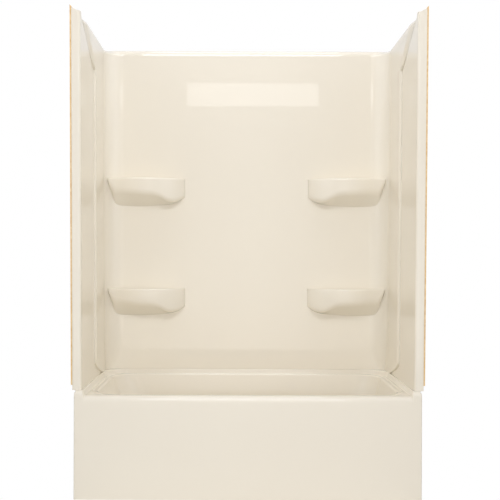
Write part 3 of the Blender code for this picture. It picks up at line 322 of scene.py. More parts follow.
def bored(piece, start, end, radius, angle):
    """Bores a round hole through a piece."""
    start, end = Vector(start), Vector(end)
    shape = bmesh.new()
    bmesh.ops.create_cone(shape, cap_ends=True, segments=BORE_SIDES, radius1=radius,
                          radius2=radius, depth=(end - start).length)
    turn = (end - start).to_track_quat("Z", "Y").to_matrix().to_4x4()
    bmesh.ops.transform(shape, matrix=Matrix.Translation((start + end) / 2) @ turn,
                        verts=shape.verts)
    tool = placed("bore", new_mesh("bore", shape))
    cut = piece.modifiers.new("bore", "BOOLEAN")
    cut.operation = "DIFFERENCE"
    cut.solver = "EXACT"
    cut.object = tool
    baked(piece, angle)
    bpy.data.objects.remove(tool)


# Materials
def linear(code):
    """Turns an sRGB hex colour into the linear values that shaders take."""
    parts = [int(code[i:i + 2], 16) / 255 for i in (1, 3, 5)]
    return [p / 12.92 if p <= 0.04045 else ((p + 0.055) / 1.055) ** 2.4 for p in parts] + [1]


def add(tree, kind, values=None, links=None, **settings):
    """Adds one shader node with its settings, socket values and incoming links."""
    node = tree.nodes.new(kind)
    for key, value in settings.items():
        setattr(node, key, value)
    for socket, value in (values or {}).items():
        node.inputs[socket].default_value = value
    for socket, source in (links or {}).items():
        tree.links.new(source, node.inputs[socket])
    return node


def new_material(name):
    material = bpy.data.materials.new(name)
    material.use_nodes = True
    tree = material.node_tree
    return material, tree, tree.nodes["Principled BSDF"]


def gloss_almond_abs():
    # Vacuum-formed almond ABS with a glossy cap layer: mirror-like at grazing angles. Its colour
    # drifts very slightly over 625 mm. The sheet's orange peel, really 2 to 4 mm, is too fine to
    # show at this distance and is drawn 18 mm coarse and very faint.
    material, tree, shader = new_material("gloss_almond_abs")
    place = add(tree, "ShaderNodeTexCoord")
    cloud = add(tree, "ShaderNodeTexNoise", {"Scale": 1 / (625 * MM), "Detail": 1.0},
                {"Vector": place.outputs["Object"]})
    tone = add(tree, "ShaderNodeMix", {"A": linear("#F4EEE0"), "B": linear("#F1EADC")},
               {"Factor": cloud.outputs["Fac"]}, data_type="RGBA")
    peel = add(tree, "ShaderNodeTexNoise", {"Scale": 1 / (18.18 * MM), "Detail": 1.0},
               {"Vector": place.outputs["Object"]})
    bump = add(tree, "ShaderNodeBump", {"Strength": 0.008, "Distance": 0.3 * MM},
               {"Height": peel.outputs["Fac"]})
    tree.links.new(tone.outputs["Result"], shader.inputs["Base Color"])
    tree.links.new(bump.outputs["Normal"], shader.inputs["Normal"])
    shader.inputs["Roughness"].default_value = 0.008
    shader.inputs["IOR"].default_value = 1.52
    return material


def grained_wood(name, pale, dark):
    # Sawn softwood, dry and matte: grain lines six times as long as they are wide. Growth rings,
    # really 3 to 5 mm apart, are drawn as 18 mm bands with finer lines in them, so that they show
    # on the thin edges in view.
    material, tree, shader = new_material(name)
    place = add(tree, "ShaderNodeTexCoord")
    stretch = add(tree, "ShaderNodeMapping", {"Scale": (1.0, 6.0, 6.0)},
                  {"Vector": place.outputs["Object"]})
    grain = add(tree, "ShaderNodeTexNoise",
                {"Scale": 1 / (111.1 * MM), "Detail": 6.0, "Distortion": 0.6},
                {"Vector": stretch.outputs["Vector"]})
    tone = add(tree, "ShaderNodeValToRGB", None, {"Fac": grain.outputs["Fac"]})
    for element, position, code in zip(tone.color_ramp.elements, (0.35, 0.65), (dark, pale)):
        element.position = position
        element.color = linear(code)
    bump = add(tree, "ShaderNodeBump", {"Strength": 0.25, "Distance": 0.4 * MM},
               {"Height": grain.outputs["Fac"]})
    tree.links.new(tone.outputs["Color"], shader.inputs["Base Color"])
    tree.links.new(bump.outputs["Normal"], shader.inputs["Normal"])
    shader.inputs["Roughness"].default_value = 0.62
    return material


def white_bead_foam():
    # Moulded polystyrene foam: fused white beads of 4 mm with shallow seams, quite matte.
    material, tree, shader = new_material("white_bead_foam")
    place = add(tree, "ShaderNodeTexCoord")
    beads = add(tree, "ShaderNodeTexVoronoi", {"Scale": 1 / (4 * MM)},
                {"Vector": place.outputs["Object"]})
    bump = add(tree, "ShaderNodeBump", {"Strength": 0.5, "Distance": 0.6 * MM},
               {"Height": beads.outputs["Distance"]}, invert=True)
    tree.links.new(bump.outputs["Normal"], shader.inputs["Normal"])
    shader.inputs["Base Color"].default_value = linear("#F1F1EC")
    shader.inputs["Roughness"].default_value = 0.85
    return material


def wiped_metal(name, code, roughness, mark):
    # Plated or turned metal: bright, with wiping marks that vary its roughness. The marks, really
    # finer than 1 mm, are drawn as coarse as the given size so that they show.
    material, tree, shader = new_material(name)
    place = add(tree, "ShaderNodeTexCoord")
    wipe = add(tree, "ShaderNodeTexNoise", {"Scale": 1 / mark, "Detail": 3.0},
               {"Vector": place.outputs["Object"]})
    spread = add(tree, "ShaderNodeMapRange",
                 {"To Min": roughness * 0.7, "To Max": roughness * 1.4},
                 {"Value": wipe.outputs["Fac"]})
    tree.links.new(spread.outputs["Result"], shader.inputs["Roughness"])
    shader.inputs["Base Color"].default_value = linear(code)
    shader.inputs["Metallic"].default_value = 1.0
    return material


def fine_grained(name, code, roughness, grain):
    # Injection-moulded pipe plastic or pressed rubber: even colour, with a surface grain 0.1 mm
    # deep that is really finer than 1 mm and is drawn as coarse as the given size.
    material, tree, shader = new_material(name)
    place = add(tree, "ShaderNodeTexCoord")
    skin = add(tree, "ShaderNodeTexNoise", {"Scale": 1 / grain, "Detail": 2.0},
               {"Vector": place.outputs["Object"]})
    bump = add(tree, "ShaderNodeBump", {"Strength": 0.3, "Distance": 0.1 * MM},
               {"Height": skin.outputs["Fac"]})
    tree.links.new(bump.outputs["Normal"], shader.inputs["Normal"])
    shader.inputs["Base Color"].default_value = linear(code)
    shader.inputs["Roughness"].default_value = roughness
    return material


ALMOND = gloss_almond_abs()
FINISHES = {
    ALMOND_SLOT: ALMOND,
    "pine": grained_wood("sawn_pine", "#EFD2A2", "#E2BC84"),
    "plywood": grained_wood("rough_plywood", "#E6D0A8", "#D2B684"),
    "white_foam": white_bead_foam(),
    "chrome": wiped_metal("polished_chrome", "#C9CACC", 0.08, 16.7 * MM),
    "brass": wiped_metal("turned_brass", "#C9A35A", 0.25, 11.1 * MM),
    "waste_plastic": fine_grained("white_pipe_plastic", "#E6E5DF", 0.35, 3.3 * MM),
    "black_rubber": fine_grained("black_rubber", "#1B1B1B", 0.7, 2 * MM),
}


# The tub
def ring(corners, radii):
    """A counter-clockwise outline from the front left corner; a zero radius stays sharp."""
    blocks = []
    for i, corner in enumerate(corners):
        here = Vector(corner)
        back = (Vector(corners[i - 1]) - here).normalized()
        ahead = (Vector(corners[(i + 1) % len(corners)]) - here).normalized()
        half = back.angle(ahead) / 2
        block = []
        for share in shares(ARC_STEPS):
            if radii[i] == 0:
                along = SHARP_NIB * (1 - 2 * share)
                block.append(here + (back if along > 0 else ahead) * abs(along))
                continue
            centre = here + (back + ahead).normalized() * radii[i] / math.sin(half)
            start = here + back * radii[i] / math.tan(half) - centre
            block.append(centre + Matrix.Rotation(share * (math.pi - 2 * half), 2) @ start)
        blocks.append(block)
    points = []
    for block, after, steps in zip(blocks, blocks[1:] + blocks[:1], EDGE_STEPS):
        points.extend(block)
        points.extend(mix(block[-1], after[0], share) for share in shares(steps)[1:-1])
    return points


def raised(points, height):
    return [Vector((point.x, point.y, height)) for point in points]


def basin_ring(left, right, side, growth, height, fall):
    """The basin's outline, moved in from the rim; fall brings in the floor's slope."""
    front, back = BASIN_FRONT_Y + side, BASIN_BACK_Y - side
    low, high = -BASIN_X + left, BASIN_X - right
    radii = [FRONT_CORNER + growth] * 2 + [BACK_CORNER + growth] * 2
    points = ring(((low, front), (high, front), (high, back), (low, back)), radii)
    slope = fall * FLOOR_FALL / (2 * HALF_LENGTH)
    return [Vector((p.x, p.y, height + slope * (DRAIN_X - p.x))) for p in points]


def deck_ring(side_offset, back_offset, corner):
    side = DECK_X + side_offset
    back = DECK_BACK_Y + back_offset
    corners = ((-side, DECK_FRONT_Y), (side, DECK_FRONT_Y), (side, back), (-side, back))
    return ring(corners, (0, 0, corner, corner))


def deck_edge():
    """Where the flat deck ends, at the foot of the border's fillet."""
    return deck_ring(-SLOPE_FOOT, -SLOPE_FOOT_BACK, DECK_CORNER - SLOPE_FOOT)


def bead_row(place):
    """One line along the moulded bead; place runs from 1 outside, over 0, to -1 inside."""
    distance = BEAD_DISTANCE + BEAD_HALF_WIDTH * place
    lift = BEAD_HEIGHT * math.cos(math.pi / 2 * place) ** 2
    # Where the deck is narrow, the lines share its width and the bead fades out
    room_share = BEAD_ROOM_MIDDLE + BEAD_ROOM_SPREAD * place
    front = mix(BASIN_FRONT_Y - LIP_SIDE, DECK_FRONT_Y, room_share)
    back = mix(BASIN_BACK_Y + LIP_SIDE, DECK_BACK_Y - SLOPE_FOOT_BACK, room_share)
    corner = DECK_CORNER - SLOPE_FOOT
    centre = Vector((DECK_X - SLOPE_FOOT - corner, DECK_BACK_Y - SLOPE_FOOT_BACK - corner))
    reach = corner - BEAD_CORNER_ROOM * (1 - room_share)
    row = basin_ring(-distance, -distance, -distance, distance, RIM_HEIGHT, 0)
    for point in row:
        out = Vector((abs(point.x), point.y)) - centre
        room = min(point.y - front, back - point.y) / BEAD_FADE
        if min(out) > 0:
            room = min(room, (reach - out.length) / BEAD_CORNER_FADE)
            out *= min(1, reach / out.length)
            point.x = math.copysign(centre.x + out.x, point.x)
            point.y = centre.y + out.y
        point.z += lift * smooth(room)
        point.y = max(front, min(back, point.y))
    return row


def basin_rows():
    """The deck, the bead, the rounded lip, the sides, and the curve down to the floor."""
    rows = [raised(deck_edge(), RIM_HEIGHT)]
    rows += [bead_row(1 - 2 * share) for share in shares(BEAD_STEPS)]
    for angle in quarter(LIP_STEPS)[:-1]:
        inward = LIP * (1 - math.sin(angle))
        rows.append(basin_ring(-inward, -inward, -inward * LIP_SIDE / LIP, inward,
                               RIM_HEIGHT - LIP * (1 - math.cos(angle)), 0))
    straight = 1 - FOOT_CURVE / BASIN_DEPTH
    for share in shares(SIDE_STEPS):
        t = straight * share
        rows.append(basin_ring(BACKREST_RUN * t, DRAIN_END_RUN * t, SIDE_RUN * t,
                               FOOT_GROWTH * t, BASIN_TOP - BASIN_DEPTH * t, t))
    for share in shares(FOOT_STEPS)[1:]:
        before = (1 - share) ** 2
        insets = [run * (before * straight + 1 - before) + FOOT_REACH * share ** 2
                  for run in (BACKREST_RUN, DRAIN_END_RUN, SIDE_RUN)]
        rows.append(basin_ring(*insets, FOOT_GROWTH, FLOOR_HEIGHT + FOOT_CURVE * before, 1))
    return rows


def border_profile():
    """Side offset, back offset, corner and height, from the nailing flange in to the deck."""
    side, back, corner = RIM_OUTER_X - DECK_X, RIM_OUTER_Y - DECK_BACK_Y, BORDER_OUTER_CORNER
    rise = BORDER_TOP - RIM_HEIGHT

    def on_slope(run, height):
        return run, run, DECK_CORNER + run, height

    points = [(side, back, corner, NAIL_TOP)]
    points += curve((side, back, corner, BORDER_TOP + BORDER_ROUND),
                    (side, back, corner, BORDER_TOP),
                    (side - BORDER_ROUND, back - BORDER_ROUND, corner - BORDER_ROUND, BORDER_TOP),
                    BORDER_STEPS)
    points += curve(on_slope(SLOPE_RUN + SLOPE_EDGE, BORDER_TOP),
                    on_slope(SLOPE_RUN, BORDER_TOP),
                    on_slope(SLOPE_RUN * (1 - SLOPE_EDGE / rise), BORDER_TOP - SLOPE_EDGE),
                    SLOPE_STEPS)
    points += curve(on_slope(SLOPE_RUN * SLOPE_FILLET / rise, RIM_HEIGHT + SLOPE_FILLET),
                    on_slope(0, RIM_HEIGHT),
                    (-SLOPE_FOOT, -SLOPE_FOOT_BACK, DECK_CORNER - SLOPE_FOOT, RIM_HEIGHT),
                    SLOPE_STEPS)
    return points


def border_rows():
    """The raised border, from the front right corner round the back to the front left one."""
    rows = []
    for side, back, corner, height in border_profile():
        points = raised(deck_ring(side, back, corner), height)
        rows.append(points[FRONT_RIGHT:] + points[:FRONT_LEFT + 1])
    return rows


def apron_top():
    """Place and height along the apron's top, over the border, the deck and the border."""
    deck = [(point.x, RIM_HEIGHT) for point in deck_edge()[FRONT_LEFT:FRONT_RIGHT + 1]]
    side = [(DECK_X + run, min(height, BORDER_TOP))
            for run, _, _, height in border_profile()[BORDER_STEPS + 1:-1]]
    return [(-x, height) for x, height in side] + deck + list(reversed(side))


def apron_rows():
    top = apron_top()
    rows = [[Vector((x, FRONT_Y, level)) for x, _ in top] for level in APRON_LEVELS]
    for angle in reversed(quarter(BULLNOSE_STEPS)):
        rows.append([Vector((x, DECK_FRONT_Y - BULLNOSE * math.sin(angle),
                             height - BULLNOSE * (1 - math.cos(angle)))) for x, height in top])
    return rows


def return_rows(side):
    """The apron's end, turned back up to the middle of the bullnose; side is -1 or 1."""
    rows = []
    for row in apron_rows()[:-BULLNOSE_STEPS // 2]:
        edge = row[-1 if side > 0 else 0]
        path = [Vector((side * (abs(edge.x) + APRON_EDGE * math.sin(angle)),
                        edge.y + APRON_EDGE * (1 - math.cos(angle)), edge.z))
                for angle in quarter(EDGE_ARC_STEPS)]
        path.append(Vector((path[-1].x, FRONT_Y + APRON_EDGE + APRON_RETURN, edge.z)))
        rows.append(path if side > 0 else list(reversed(path)))
    return rows


def make_tub():
    patches = [(basin_rows(), True, True), (border_rows(), False, False),
               (apron_rows(), False, False), (return_rows(-1), False, False),
               (return_rows(1), False, False)]
    tub = sheet("tub_moulding", patches, SHELL_WALL, "tub_shell", TUB_CRISP)
    bored(tub, (DRAIN_X, WASTE_Y, DRAIN_BORE_LOW), (DRAIN_X, WASTE_Y, DRAIN_BORE_HIGH),
          DRAIN_BORE, TUB_CRISP)
    tilt = math.atan2(DRAIN_END_RUN, BASIN_DEPTH)
    reach = Vector((-math.cos(tilt), 0, math.sin(tilt))) * OVERFLOW_BORE_REACH
    centre = Vector((OVERFLOW_X, WASTE_Y, OVERFLOW_Z))
    bored(tub, centre - reach, centre + reach, OVERFLOW_BORE, TUB_CRISP)


# The wall surround
def leaned(point):
    """Leans a point of the surround outwards with its height, as the mould's draft does."""
    lean = 1 + SPREAD_SHARE * (point.z - PANEL_FOOT) / (WALL_TOP - RIM_HEIGHT)
    return Vector((point.x * lean, point.y, point.z))


def rolled(inset, angle):
    """Outward run and rise on the rolled top edge; an inset goes towards its centre."""
    radius = TOP_ROLL - inset
    return TOP_ROLL - radius * math.cos(angle), radius * math.sin(angle)


def toe_run(height, reach, toe_height):
    below = max(0, 1 - (height - PANEL_FOOT) / toe_height)
    return reach * below ** TOE_POWER


def toe_levels(toe_height, steps, crowding):
    """Levels up a curved toe, closer together towards its foot."""
    return [PANEL_FOOT + toe_height * share ** crowding for share in shares(steps)]


def climbed(levels, top, steps):
    """The levels, carried on evenly up to a top."""
    return levels + [mix(levels[-1], top, share) for share in shares(steps)[1:]]


# Where the end panel's columns lie, from its lapped edge at 1 to its front corner near 0: even,
# then close together over the shoulder
END_COLUMNS = [share for share in reversed(shares(END_STEPS)) if share > EAR_END_SHARE]
END_COLUMNS += [mix(EAR_END_SHARE, EAR_SHARE, share) for share in shares(EAR_STEPS)]
END_COLUMNS += [0.035, 0.015]


def end_row(height, angle, rise_share):
    """One level of the left end panel, from its lapped edge to the flange's outer edge.

    The flange's top rises above the wall's, and the shoulder between them rises with it.
    """
    lap = FRONT_Y + WING_EDGE + LAP_WIDTH + toe_run(height, LAP_TOE_REACH, LAP_TOE_HEIGHT)
    flange_y = FRONT_Y + FLANGE_SETBACK
    inner_y = flange_y + FLANGE_INNER
    run, rise = rolled(WING_STEP, angle)
    run -= WING_STEP
    level = height + rise
    ear = FLANGE_RISE_INNER * rise_share
    points = []
    for share in END_COLUMNS:
        roll = smooth((share - EAR_SHARE) / (EAR_END_SHARE - EAR_SHARE))
        points.append(Vector((-FACE_X - run * roll, mix(inner_y, lap, share),
                              level + ear * (1 - roll))))
    for turn in quarter(EDGE_ARC_STEPS):
        points.append(Vector((-FACE_X - FLANGE_INNER * (1 - math.cos(turn)),
                              inner_y - FLANGE_INNER * math.sin(turn), level + ear)))
    for share in shares(FLANGE_STEPS)[1:]:
        x = mix(FACE_X + FLANGE_INNER, FLANGE_OUTER - FLANGE_ROUND, share)
        lift = mix(FLANGE_RISE_INNER, FLANGE_RISE_OUTER, share) * rise_share
        points.append(Vector((-x, flange_y, level + lift)))
    points.append(Vector((-FLANGE_OUTER, flange_y + FLANGE_ROUND,
                          level + FLANGE_RISE_OUTER * rise_share)))
    return points


def make_end_panel(name, side, node):
    levels = toe_levels(LAP_TOE_HEIGHT, LAP_TOE_STEPS, LAP_TOE_CROWDING)
    levels = climbed(levels, ROLL_START, WALL_STEPS)
    rows = [end_row(height, 0, 0) for height in levels]
    rows += [end_row(ROLL_START, angle, 2 * angle / math.pi)
             for angle in quarter(ROLL_STEPS)[1:]]
    rows = [[leaned(point) for point in row] for row in rows]
    if side > 0:
        rows = [[Vector((-p.x, p.y, p.z)) for p in row] for row in rows]
    else:
        rows = [list(reversed(row)) for row in rows]
    sheet(name, [(rows, False, False)], PANEL_WALL, node, WALL_CRISP)


def corner_radius(height):
    share = min(1, (height - PANEL_FOOT) / CORNER_EASE)
    return mix(CORNER_RADIUS_LOW, CORNER_RADIUS, math.sin(math.pi / 2 * share))


def wing_edge(height):
    """The wing's front edge, curved back at its foot and swept forward at its top."""
    above = max(0, (height - SWEEP_START) / WING_SWEEP_HEIGHT)
    return (FRONT_Y + WING_EDGE + toe_run(height, WING_TOE_REACH, WING_TOE_HEIGHT)
            - WING_SWEEP * above ** WING_SWEEP_POWER)


def back_row(height, angle):
    """One level of the rear wall, from the right wing's edge round to the left's."""
    run, rise = rolled(0, angle)
    radius = mix(corner_radius(height) + run, TOP_CORNER, math.sin(angle))
    centre_x = WING_X + run - radius
    centre_y = FACE_BACK_Y + run - radius
    edge = wing_edge(height)
    # The wing's edge is turned out and ramps up to the wing, most softly where it is swept
    proud = WING_STEP - SEAT_GAP
    swept = smooth(2 * (height - SWEEP_START) / WING_SWEEP_HEIGHT)
    depth = mix(WING_LIP_DEPTH, WING_LIP_SWEPT_DEPTH, swept)
    start = edge + mix(WING_LIP_RAMP, WING_LIP_SWEPT_RAMP, swept)
    lip = [(0, proud), (0, proud - depth / 2)]
    lip += [(share, (proud - depth) * (1 - smooth(share)))
            for share in shares(WING_LIP_STEPS)]
    half = []
    for share, inset in lip:
        lip_run, lip_rise = rolled(inset, angle)
        half.append(Vector((WING_X + lip_run, mix(edge, start, share), height + lip_rise)))
    level = height + rise
    half += [Vector((WING_X + run, mix(start, centre_y, share), level))
             for share in shares(WING_STEPS)[1:-1]]
    half += [Vector((centre_x + radius * math.cos(turn), centre_y + radius * math.sin(turn),
                     level)) for turn in quarter(BACK_CORNER_STEPS)]
    half += [Vector((mix(centre_x, 0, share), FACE_BACK_Y + run, level))
             for share in shares(BACK_STEPS)[1:-1]]
    other = [Vector((-p.x, p.y, p.z)) for p in reversed(half)]
    return half + [Vector((0, FACE_BACK_Y + run, level))] + other


def make_back_panel():
    levels = toe_levels(WING_TOE_HEIGHT, WING_TOE_STEPS, WING_TOE_CROWDING)
    levels = climbed(levels, PANEL_FOOT + CORNER_EASE, CORNER_EASE_STEPS)
    levels = climbed(levels, SWEEP_START, WALL_STEPS)
    levels = climbed(levels, ROLL_START, SWEEP_STEPS)
    rows = [back_row(height, 0) for height in levels]
    rows += [back_row(ROLL_START, angle) for angle in quarter(ROLL_STEPS)[1:]]
    rows = [[leaned(point) for point in row] for row in reversed(rows)]
    sheet("rear_wall_moulding", [(rows, False, False)], PANEL_WALL, "back_panel", WALL_CRISP)


# The corner shelves
def wall_point(run, gap):
    """A point a little off the wall, by its run round the left rear corner and along the back."""
    arc = CORNER_RADIUS * math.pi / 2
    centre_x = CORNER_RADIUS - WING_X
    centre_y = FACE_BACK_Y - CORNER_RADIUS
    if run < arc:
        turn = run / CORNER_RADIUS
        radius = CORNER_RADIUS - gap
        return Vector((centre_x - radius * math.cos(turn), centre_y + radius * math.sin(turn)))
    return Vector((centre_x + run - arc, FACE_BACK_Y - gap))


# Share along the shelf, and how far its crease and its foot lie below the rim, as shares of its
# height
SHELF_TABLE = ((0, 0.06, 0.10), (0.056, 0.25, 0.48), (0.111, 0.43, 0.86), (0.167, 0.47, 0.965),
               (0.28, 0.50, 0.99), (0.46, 0.55, 1), (0.66, 0.61, 0.965), (0.81, 0.84, 0.93),
               (0.92, 0.80, 0.83), (1, 0.62, 0.66))


def shelf_drops(share):
    """Crease and foot below the rim, smoothly through the table's stations."""
    last = len(SHELF_TABLE) - 1
    i = next((k for k in range(last) if share <= SHELF_TABLE[k + 1][0]), last - 1)
    a, b, c, d = (SHELF_TABLE[max(0, min(last, i + k))] for k in (-1, 0, 1, 2))
    span = c[0] - b[0]
    t = (share - b[0]) / span
    found = []
    for k in (1, 2):
        rise_b = (c[k] - a[k]) / (c[0] - a[0]) * span
        rise_c = (d[k] - b[k]) / (d[0] - b[0]) * span
        found.append((2 * t**3 - 3 * t**2 + 1) * b[k] + (t**3 - 2 * t**2 + t) * rise_b
                     + (3 * t**2 - 2 * t**3) * c[k] + (t**3 - t**2) * rise_c)
    return found


def rounded(points, reaches):
    """Rounds a polyline's inner corners, each within its reach and half of its sides."""
    points = [Vector(point) for point in points]
    out = [points[0]]
    for before, here, after, reach in zip(points, points[1:], points[2:], reaches):
        a, b = before - here, after - here
        start = here + a.normalized() * min(reach, a.length * 0.49)
        end = here + b.normalized() * min(reach, b.length * 0.49)
        out += [Vector(point) for point in curve(start, here, end, SHELF_ROUND_STEPS)]
    return out + [points[-1]]


def shelf_section(share, rim):
    """The shelf's upright section at a share of its length, out from the wall."""
    start = CORNER_RADIUS * SHELF_START
    end = CORNER_RADIUS * math.pi / 2 + SHELF_FLAT_RUN
    rear = wall_point(mix(start, end, share), SEAT_GAP)
    bulge = (4 * share * (1 - share)) ** SHELF_FULLNESS
    reach = mix(SHELF_END_REACH, SHELF_REACH, bulge)
    crease, foot = shelf_drops(share)
    dish = SHELF_DISH * min(1, reach / (SHELF_REACH / 2))
    lip = SHELF_LIP * min(1, reach / (SHELF_REACH / 4))
    outline = [(0, -dish), (reach * SHELF_DISH_SHARE, -dish), (reach * SHELF_RIM_SHARE, 0),
               (reach, 0), (reach * SHELF_TUCK_SHARE, -crease * SHELF_HEIGHT),
               (0, -foot * SHELF_HEIGHT)]
    profile = rounded(outline, (SHELF_DISH_ROUND, SHELF_RIM_ROUND, lip, SHELF_CREASE_ROUND))
    return [leaned(Vector((rear.x, rear.y - out, rim + drop))) for out, drop in profile]


def make_shelf(side, rim, node):
    shape = bmesh.new()
    rows = [[Vector((-side * p.x, p.y, p.z)) for p in shelf_section(share, rim)]
            for share in shares(SHELF_STEPS)]
    verts = bridge(shape, rows, True, True)
    shape.faces.new(list(reversed(verts[0])))
    bmesh.ops.recalc_face_normals(shape, faces=shape.faces)
    name = node + "_moulding"
    baked(moulding(name, new_mesh(name, shape), node), SHELF_CRISP)


make_tub()
make_back_panel()
make_end_panel("left_wall_moulding", -1, "left_end_panel")
make_end_panel("right_wall_moulding", 1, "right_end_panel")
for level_word, rim_height in (("upper", SHELF_UPPER_RIM), ("lower", SHELF_LOWER_RIM)):
    for side_word, shelf_side in (("left", -1), ("right", 1)):
        make_shelf(shelf_side, rim_height, "shelf_" + level_word + "_" + side_word)


# Finishes of the pieces that keep their frame shapes
slots = {entry["node"]: entry["material_slot"] for entry in frame["record"]["subparts"]}
for node_name, solid in frame["nodes"].items():
    for holder in solid.material_slots:
        holder.material = FINISHES[slots[node_name]]


# Studio lamps
NEUTRAL = (1, 1, 1)
COOL = (0.98, 1.0, 1.07)


def lamp(name, place, target, width, height, watts, colour, mirrored):
    light = bpy.data.lights.new(name, "AREA")
    light.shape = "RECTANGLE"
    light.size = width
    light.size_y = height
    light.energy = watts
    light.color = colour
    holder = placed(name, light)
    holder.location = place
    direction = Vector(target) - Vector(place)
    holder.rotation_euler = direction.to_track_quat("-Z", "Y").to_euler()
    holder.visible_glossy = mirrored


# The strip above the camera shows as a bright band high on the rear wall, and rounded edges
# mirror the two high lamps. The low one behind is for the bath's outer faces alone, because the
# rear wall screens its inside.
lamp("strip_softbox", (0.109, -3.70, 2.465), (0.109, 0.3, 2.465), 1.23, 0.215, 1.55,
     NEUTRAL, True)
lamp("camera_softbox", (0, -3.8, 1.0), (0, 0.3, 0.9), 1.0, 1.0, 20.5, COOL, False)
lamp("front_top_softbox", (0, -2.4, 2.9), (0, 0.3, 0.4), 1.6, 0.6, 22.5, COOL, True)
lamp("overhead_softbox", (0, 0.0, 3.4), (0, 0.0, 0.4), 1.2, 0.6, 10.5, COOL, True)
lamp("rear_softbox", (0, 3.9, 0.9), (0, 0.3, 0.9), 2.4, 1.2, 45, NEUTRAL, False)


def stage_plane(name, half_width, material):
    shape = bmesh.new()
    bmesh.ops.create_grid(shape, x_segments=1, y_segments=1, size=half_width)
    plane = placed(name, new_mesh(name, shape))
    plane.data.materials.append(material)
    return plane


# The lit studio wall behind the camera: brighter low down, with a pool of light in its middle
# that only the gloss of the mouldings mirrors. The camera sees it white in other views.
WARM_GLOW = (1.04, 1.0, 0.94, 1)
WHITE_GLOW = (1, 1, 1, 1)
POOL_WIDTH = 0.75
POOL_STRENGTH = 0.75
wall_material, tree, shader = new_material("lit_studio_wall")
tree.nodes.remove(shader)
place = add(tree, "ShaderNodeTexCoord")
parts = add(tree, "ShaderNodeSeparateXYZ", None, {"Vector": place.outputs["Object"]})
rays = add(tree, "ShaderNodeLightPath")
across = add(tree, "ShaderNodeMath", {1: POOL_WIDTH}, {0: parts.outputs["X"]},
             operation="DIVIDE")
square = add(tree, "ShaderNodeMath", {1: 2.0}, {0: across.outputs[0]}, operation="POWER")
falls = add(tree, "ShaderNodeMath", {1: -1.0}, {0: square.outputs[0]}, operation="MULTIPLY")
pool = add(tree, "ShaderNodeMath", None, {0: falls.outputs[0]}, operation="EXPONENT")
mirrored_pool = add(tree, "ShaderNodeMath", None,
                    {0: pool.outputs[0], 1: rays.outputs["Is Glossy Ray"]},
                    operation="MULTIPLY")
low = add(tree, "ShaderNodeMapRange",
          {"From Min": 0.4, "From Max": -1.2, "To Min": 0.03, "To Max": 1.15},
          {"Value": parts.outputs["Y"]})
power = add(tree, "ShaderNodeMath", {1: POOL_STRENGTH},
            {0: mirrored_pool.outputs[0], 2: low.outputs["Result"]}, operation="MULTIPLY_ADD")
glow = add(tree, "ShaderNodeEmission", {"Color": WARM_GLOW}, {"Strength": power.outputs[0]})
plain = add(tree, "ShaderNodeEmission", {"Color": WHITE_GLOW, "Strength": 1.0})
chosen = add(tree, "ShaderNodeMixShader", None,
             {0: rays.outputs["Is Camera Ray"], 1: glow.outputs[0], 2: plain.outputs[0]})
tree.links.new(chosen.outputs[0], tree.nodes["Material Output"].inputs["Surface"])
studio_wall = stage_plane("studio_wall", 2.0, wall_material)
studio_wall.location = (0, -4.4, 1.6)
studio_wall.rotation_euler = (math.radians(90), 0, 0)

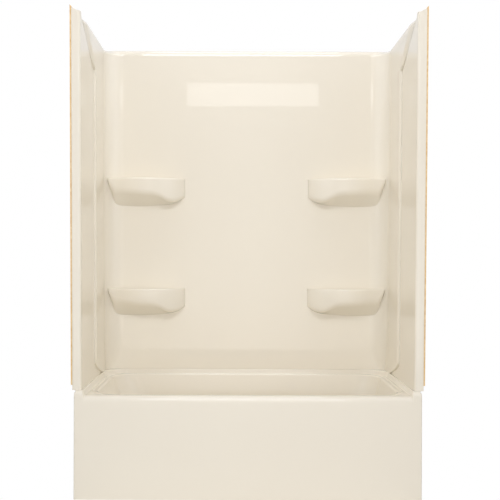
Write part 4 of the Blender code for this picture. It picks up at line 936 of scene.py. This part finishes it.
# The room: soft warm light from the front and the sides; camera, mirrors and glass see it white
world = bpy.data.worlds.new("studio")
bpy.context.scene.world = world
world.use_nodes = True
tree = world.node_tree
tree.nodes.clear()
rays = add(tree, "ShaderNodeLightPath")
place = add(tree, "ShaderNodeTexCoord")
parts = add(tree, "ShaderNodeSeparateXYZ", None, {"Vector": place.outputs["Generated"]})
front = add(tree, "ShaderNodeMapRange",
            {"From Min": 0.3, "From Max": -0.9, "To Min": 0.0, "To Max": 0.72},
            {"Value": parts.outputs["Y"]}, interpolation_type="SMOOTHSTEP")
aside = add(tree, "ShaderNodeMath", None, {0: parts.outputs["X"]}, operation="ABSOLUTE")
flanks = add(tree, "ShaderNodeMapRange",
             {"From Min": 0.3, "From Max": 0.95, "To Min": 0.0, "To Max": 0.38},
             {"Value": aside.outputs[0]}, interpolation_type="SMOOTHSTEP")
level = add(tree, "ShaderNodeMath", None,
            {0: front.outputs["Result"], 1: flanks.outputs["Result"]}, operation="ADD")
soft = add(tree, "ShaderNodeBackground", {"Color": WARM_GLOW}, {"Strength": level.outputs[0]})
white = add(tree, "ShaderNodeBackground", {"Color": WHITE_GLOW, "Strength": 1.0})
shiny = add(tree, "ShaderNodeMath", None,
            {0: rays.outputs["Is Glossy Ray"], 1: rays.outputs["Is Transmission Ray"]},
            operation="MAXIMUM")
seen = add(tree, "ShaderNodeMath", None,
           {0: rays.outputs["Is Camera Ray"], 1: shiny.outputs[0]}, operation="MAXIMUM")
chosen = add(tree, "ShaderNodeMixShader", None,
             {0: seen.outputs[0], 1: soft.outputs[0], 2: white.outputs[0]})
add(tree, "ShaderNodeOutputWorld", None, {"Surface": chosen.outputs[0]})

# Pale studio floor, seen pure white by the camera like a cut-out product background
floor_material, tree, shader = new_material("pale_studio_floor")
shader.inputs["Base Color"].default_value = linear("#EDECE8")
shader.inputs["Roughness"].default_value = 0.8
rays = add(tree, "ShaderNodeLightPath")
glow = add(tree, "ShaderNodeEmission", {"Color": WHITE_GLOW, "Strength": 1.0})
chosen = add(tree, "ShaderNodeMixShader", None,
             {0: rays.outputs["Is Camera Ray"], 1: shader.outputs[0], 2: glow.outputs[0]})
tree.links.new(chosen.outputs[0], tree.nodes["Material Output"].inputs["Surface"])
floor = stage_plane("studio_floor", 9, floor_material)
floor.location.z = -0.0005

# The photograph's camera: level, a little left of the middle, and turned 0.2 degrees about its
# view
lens = bpy.data.cameras.new("photo_camera")
lens.sensor_width = 36
lens.lens = 61.56
lens.shift_x = 0.0296
lens.shift_y = 0.010
camera = placed("photo_camera", lens)
camera.location = (-0.052, -3.693, 0.961)
camera.rotation_euler = (math.radians(90), math.radians(-0.2), 0)
bpy.context.scene.camera = camera
bpy.context.scene.view_settings.view_transform = "Standard"
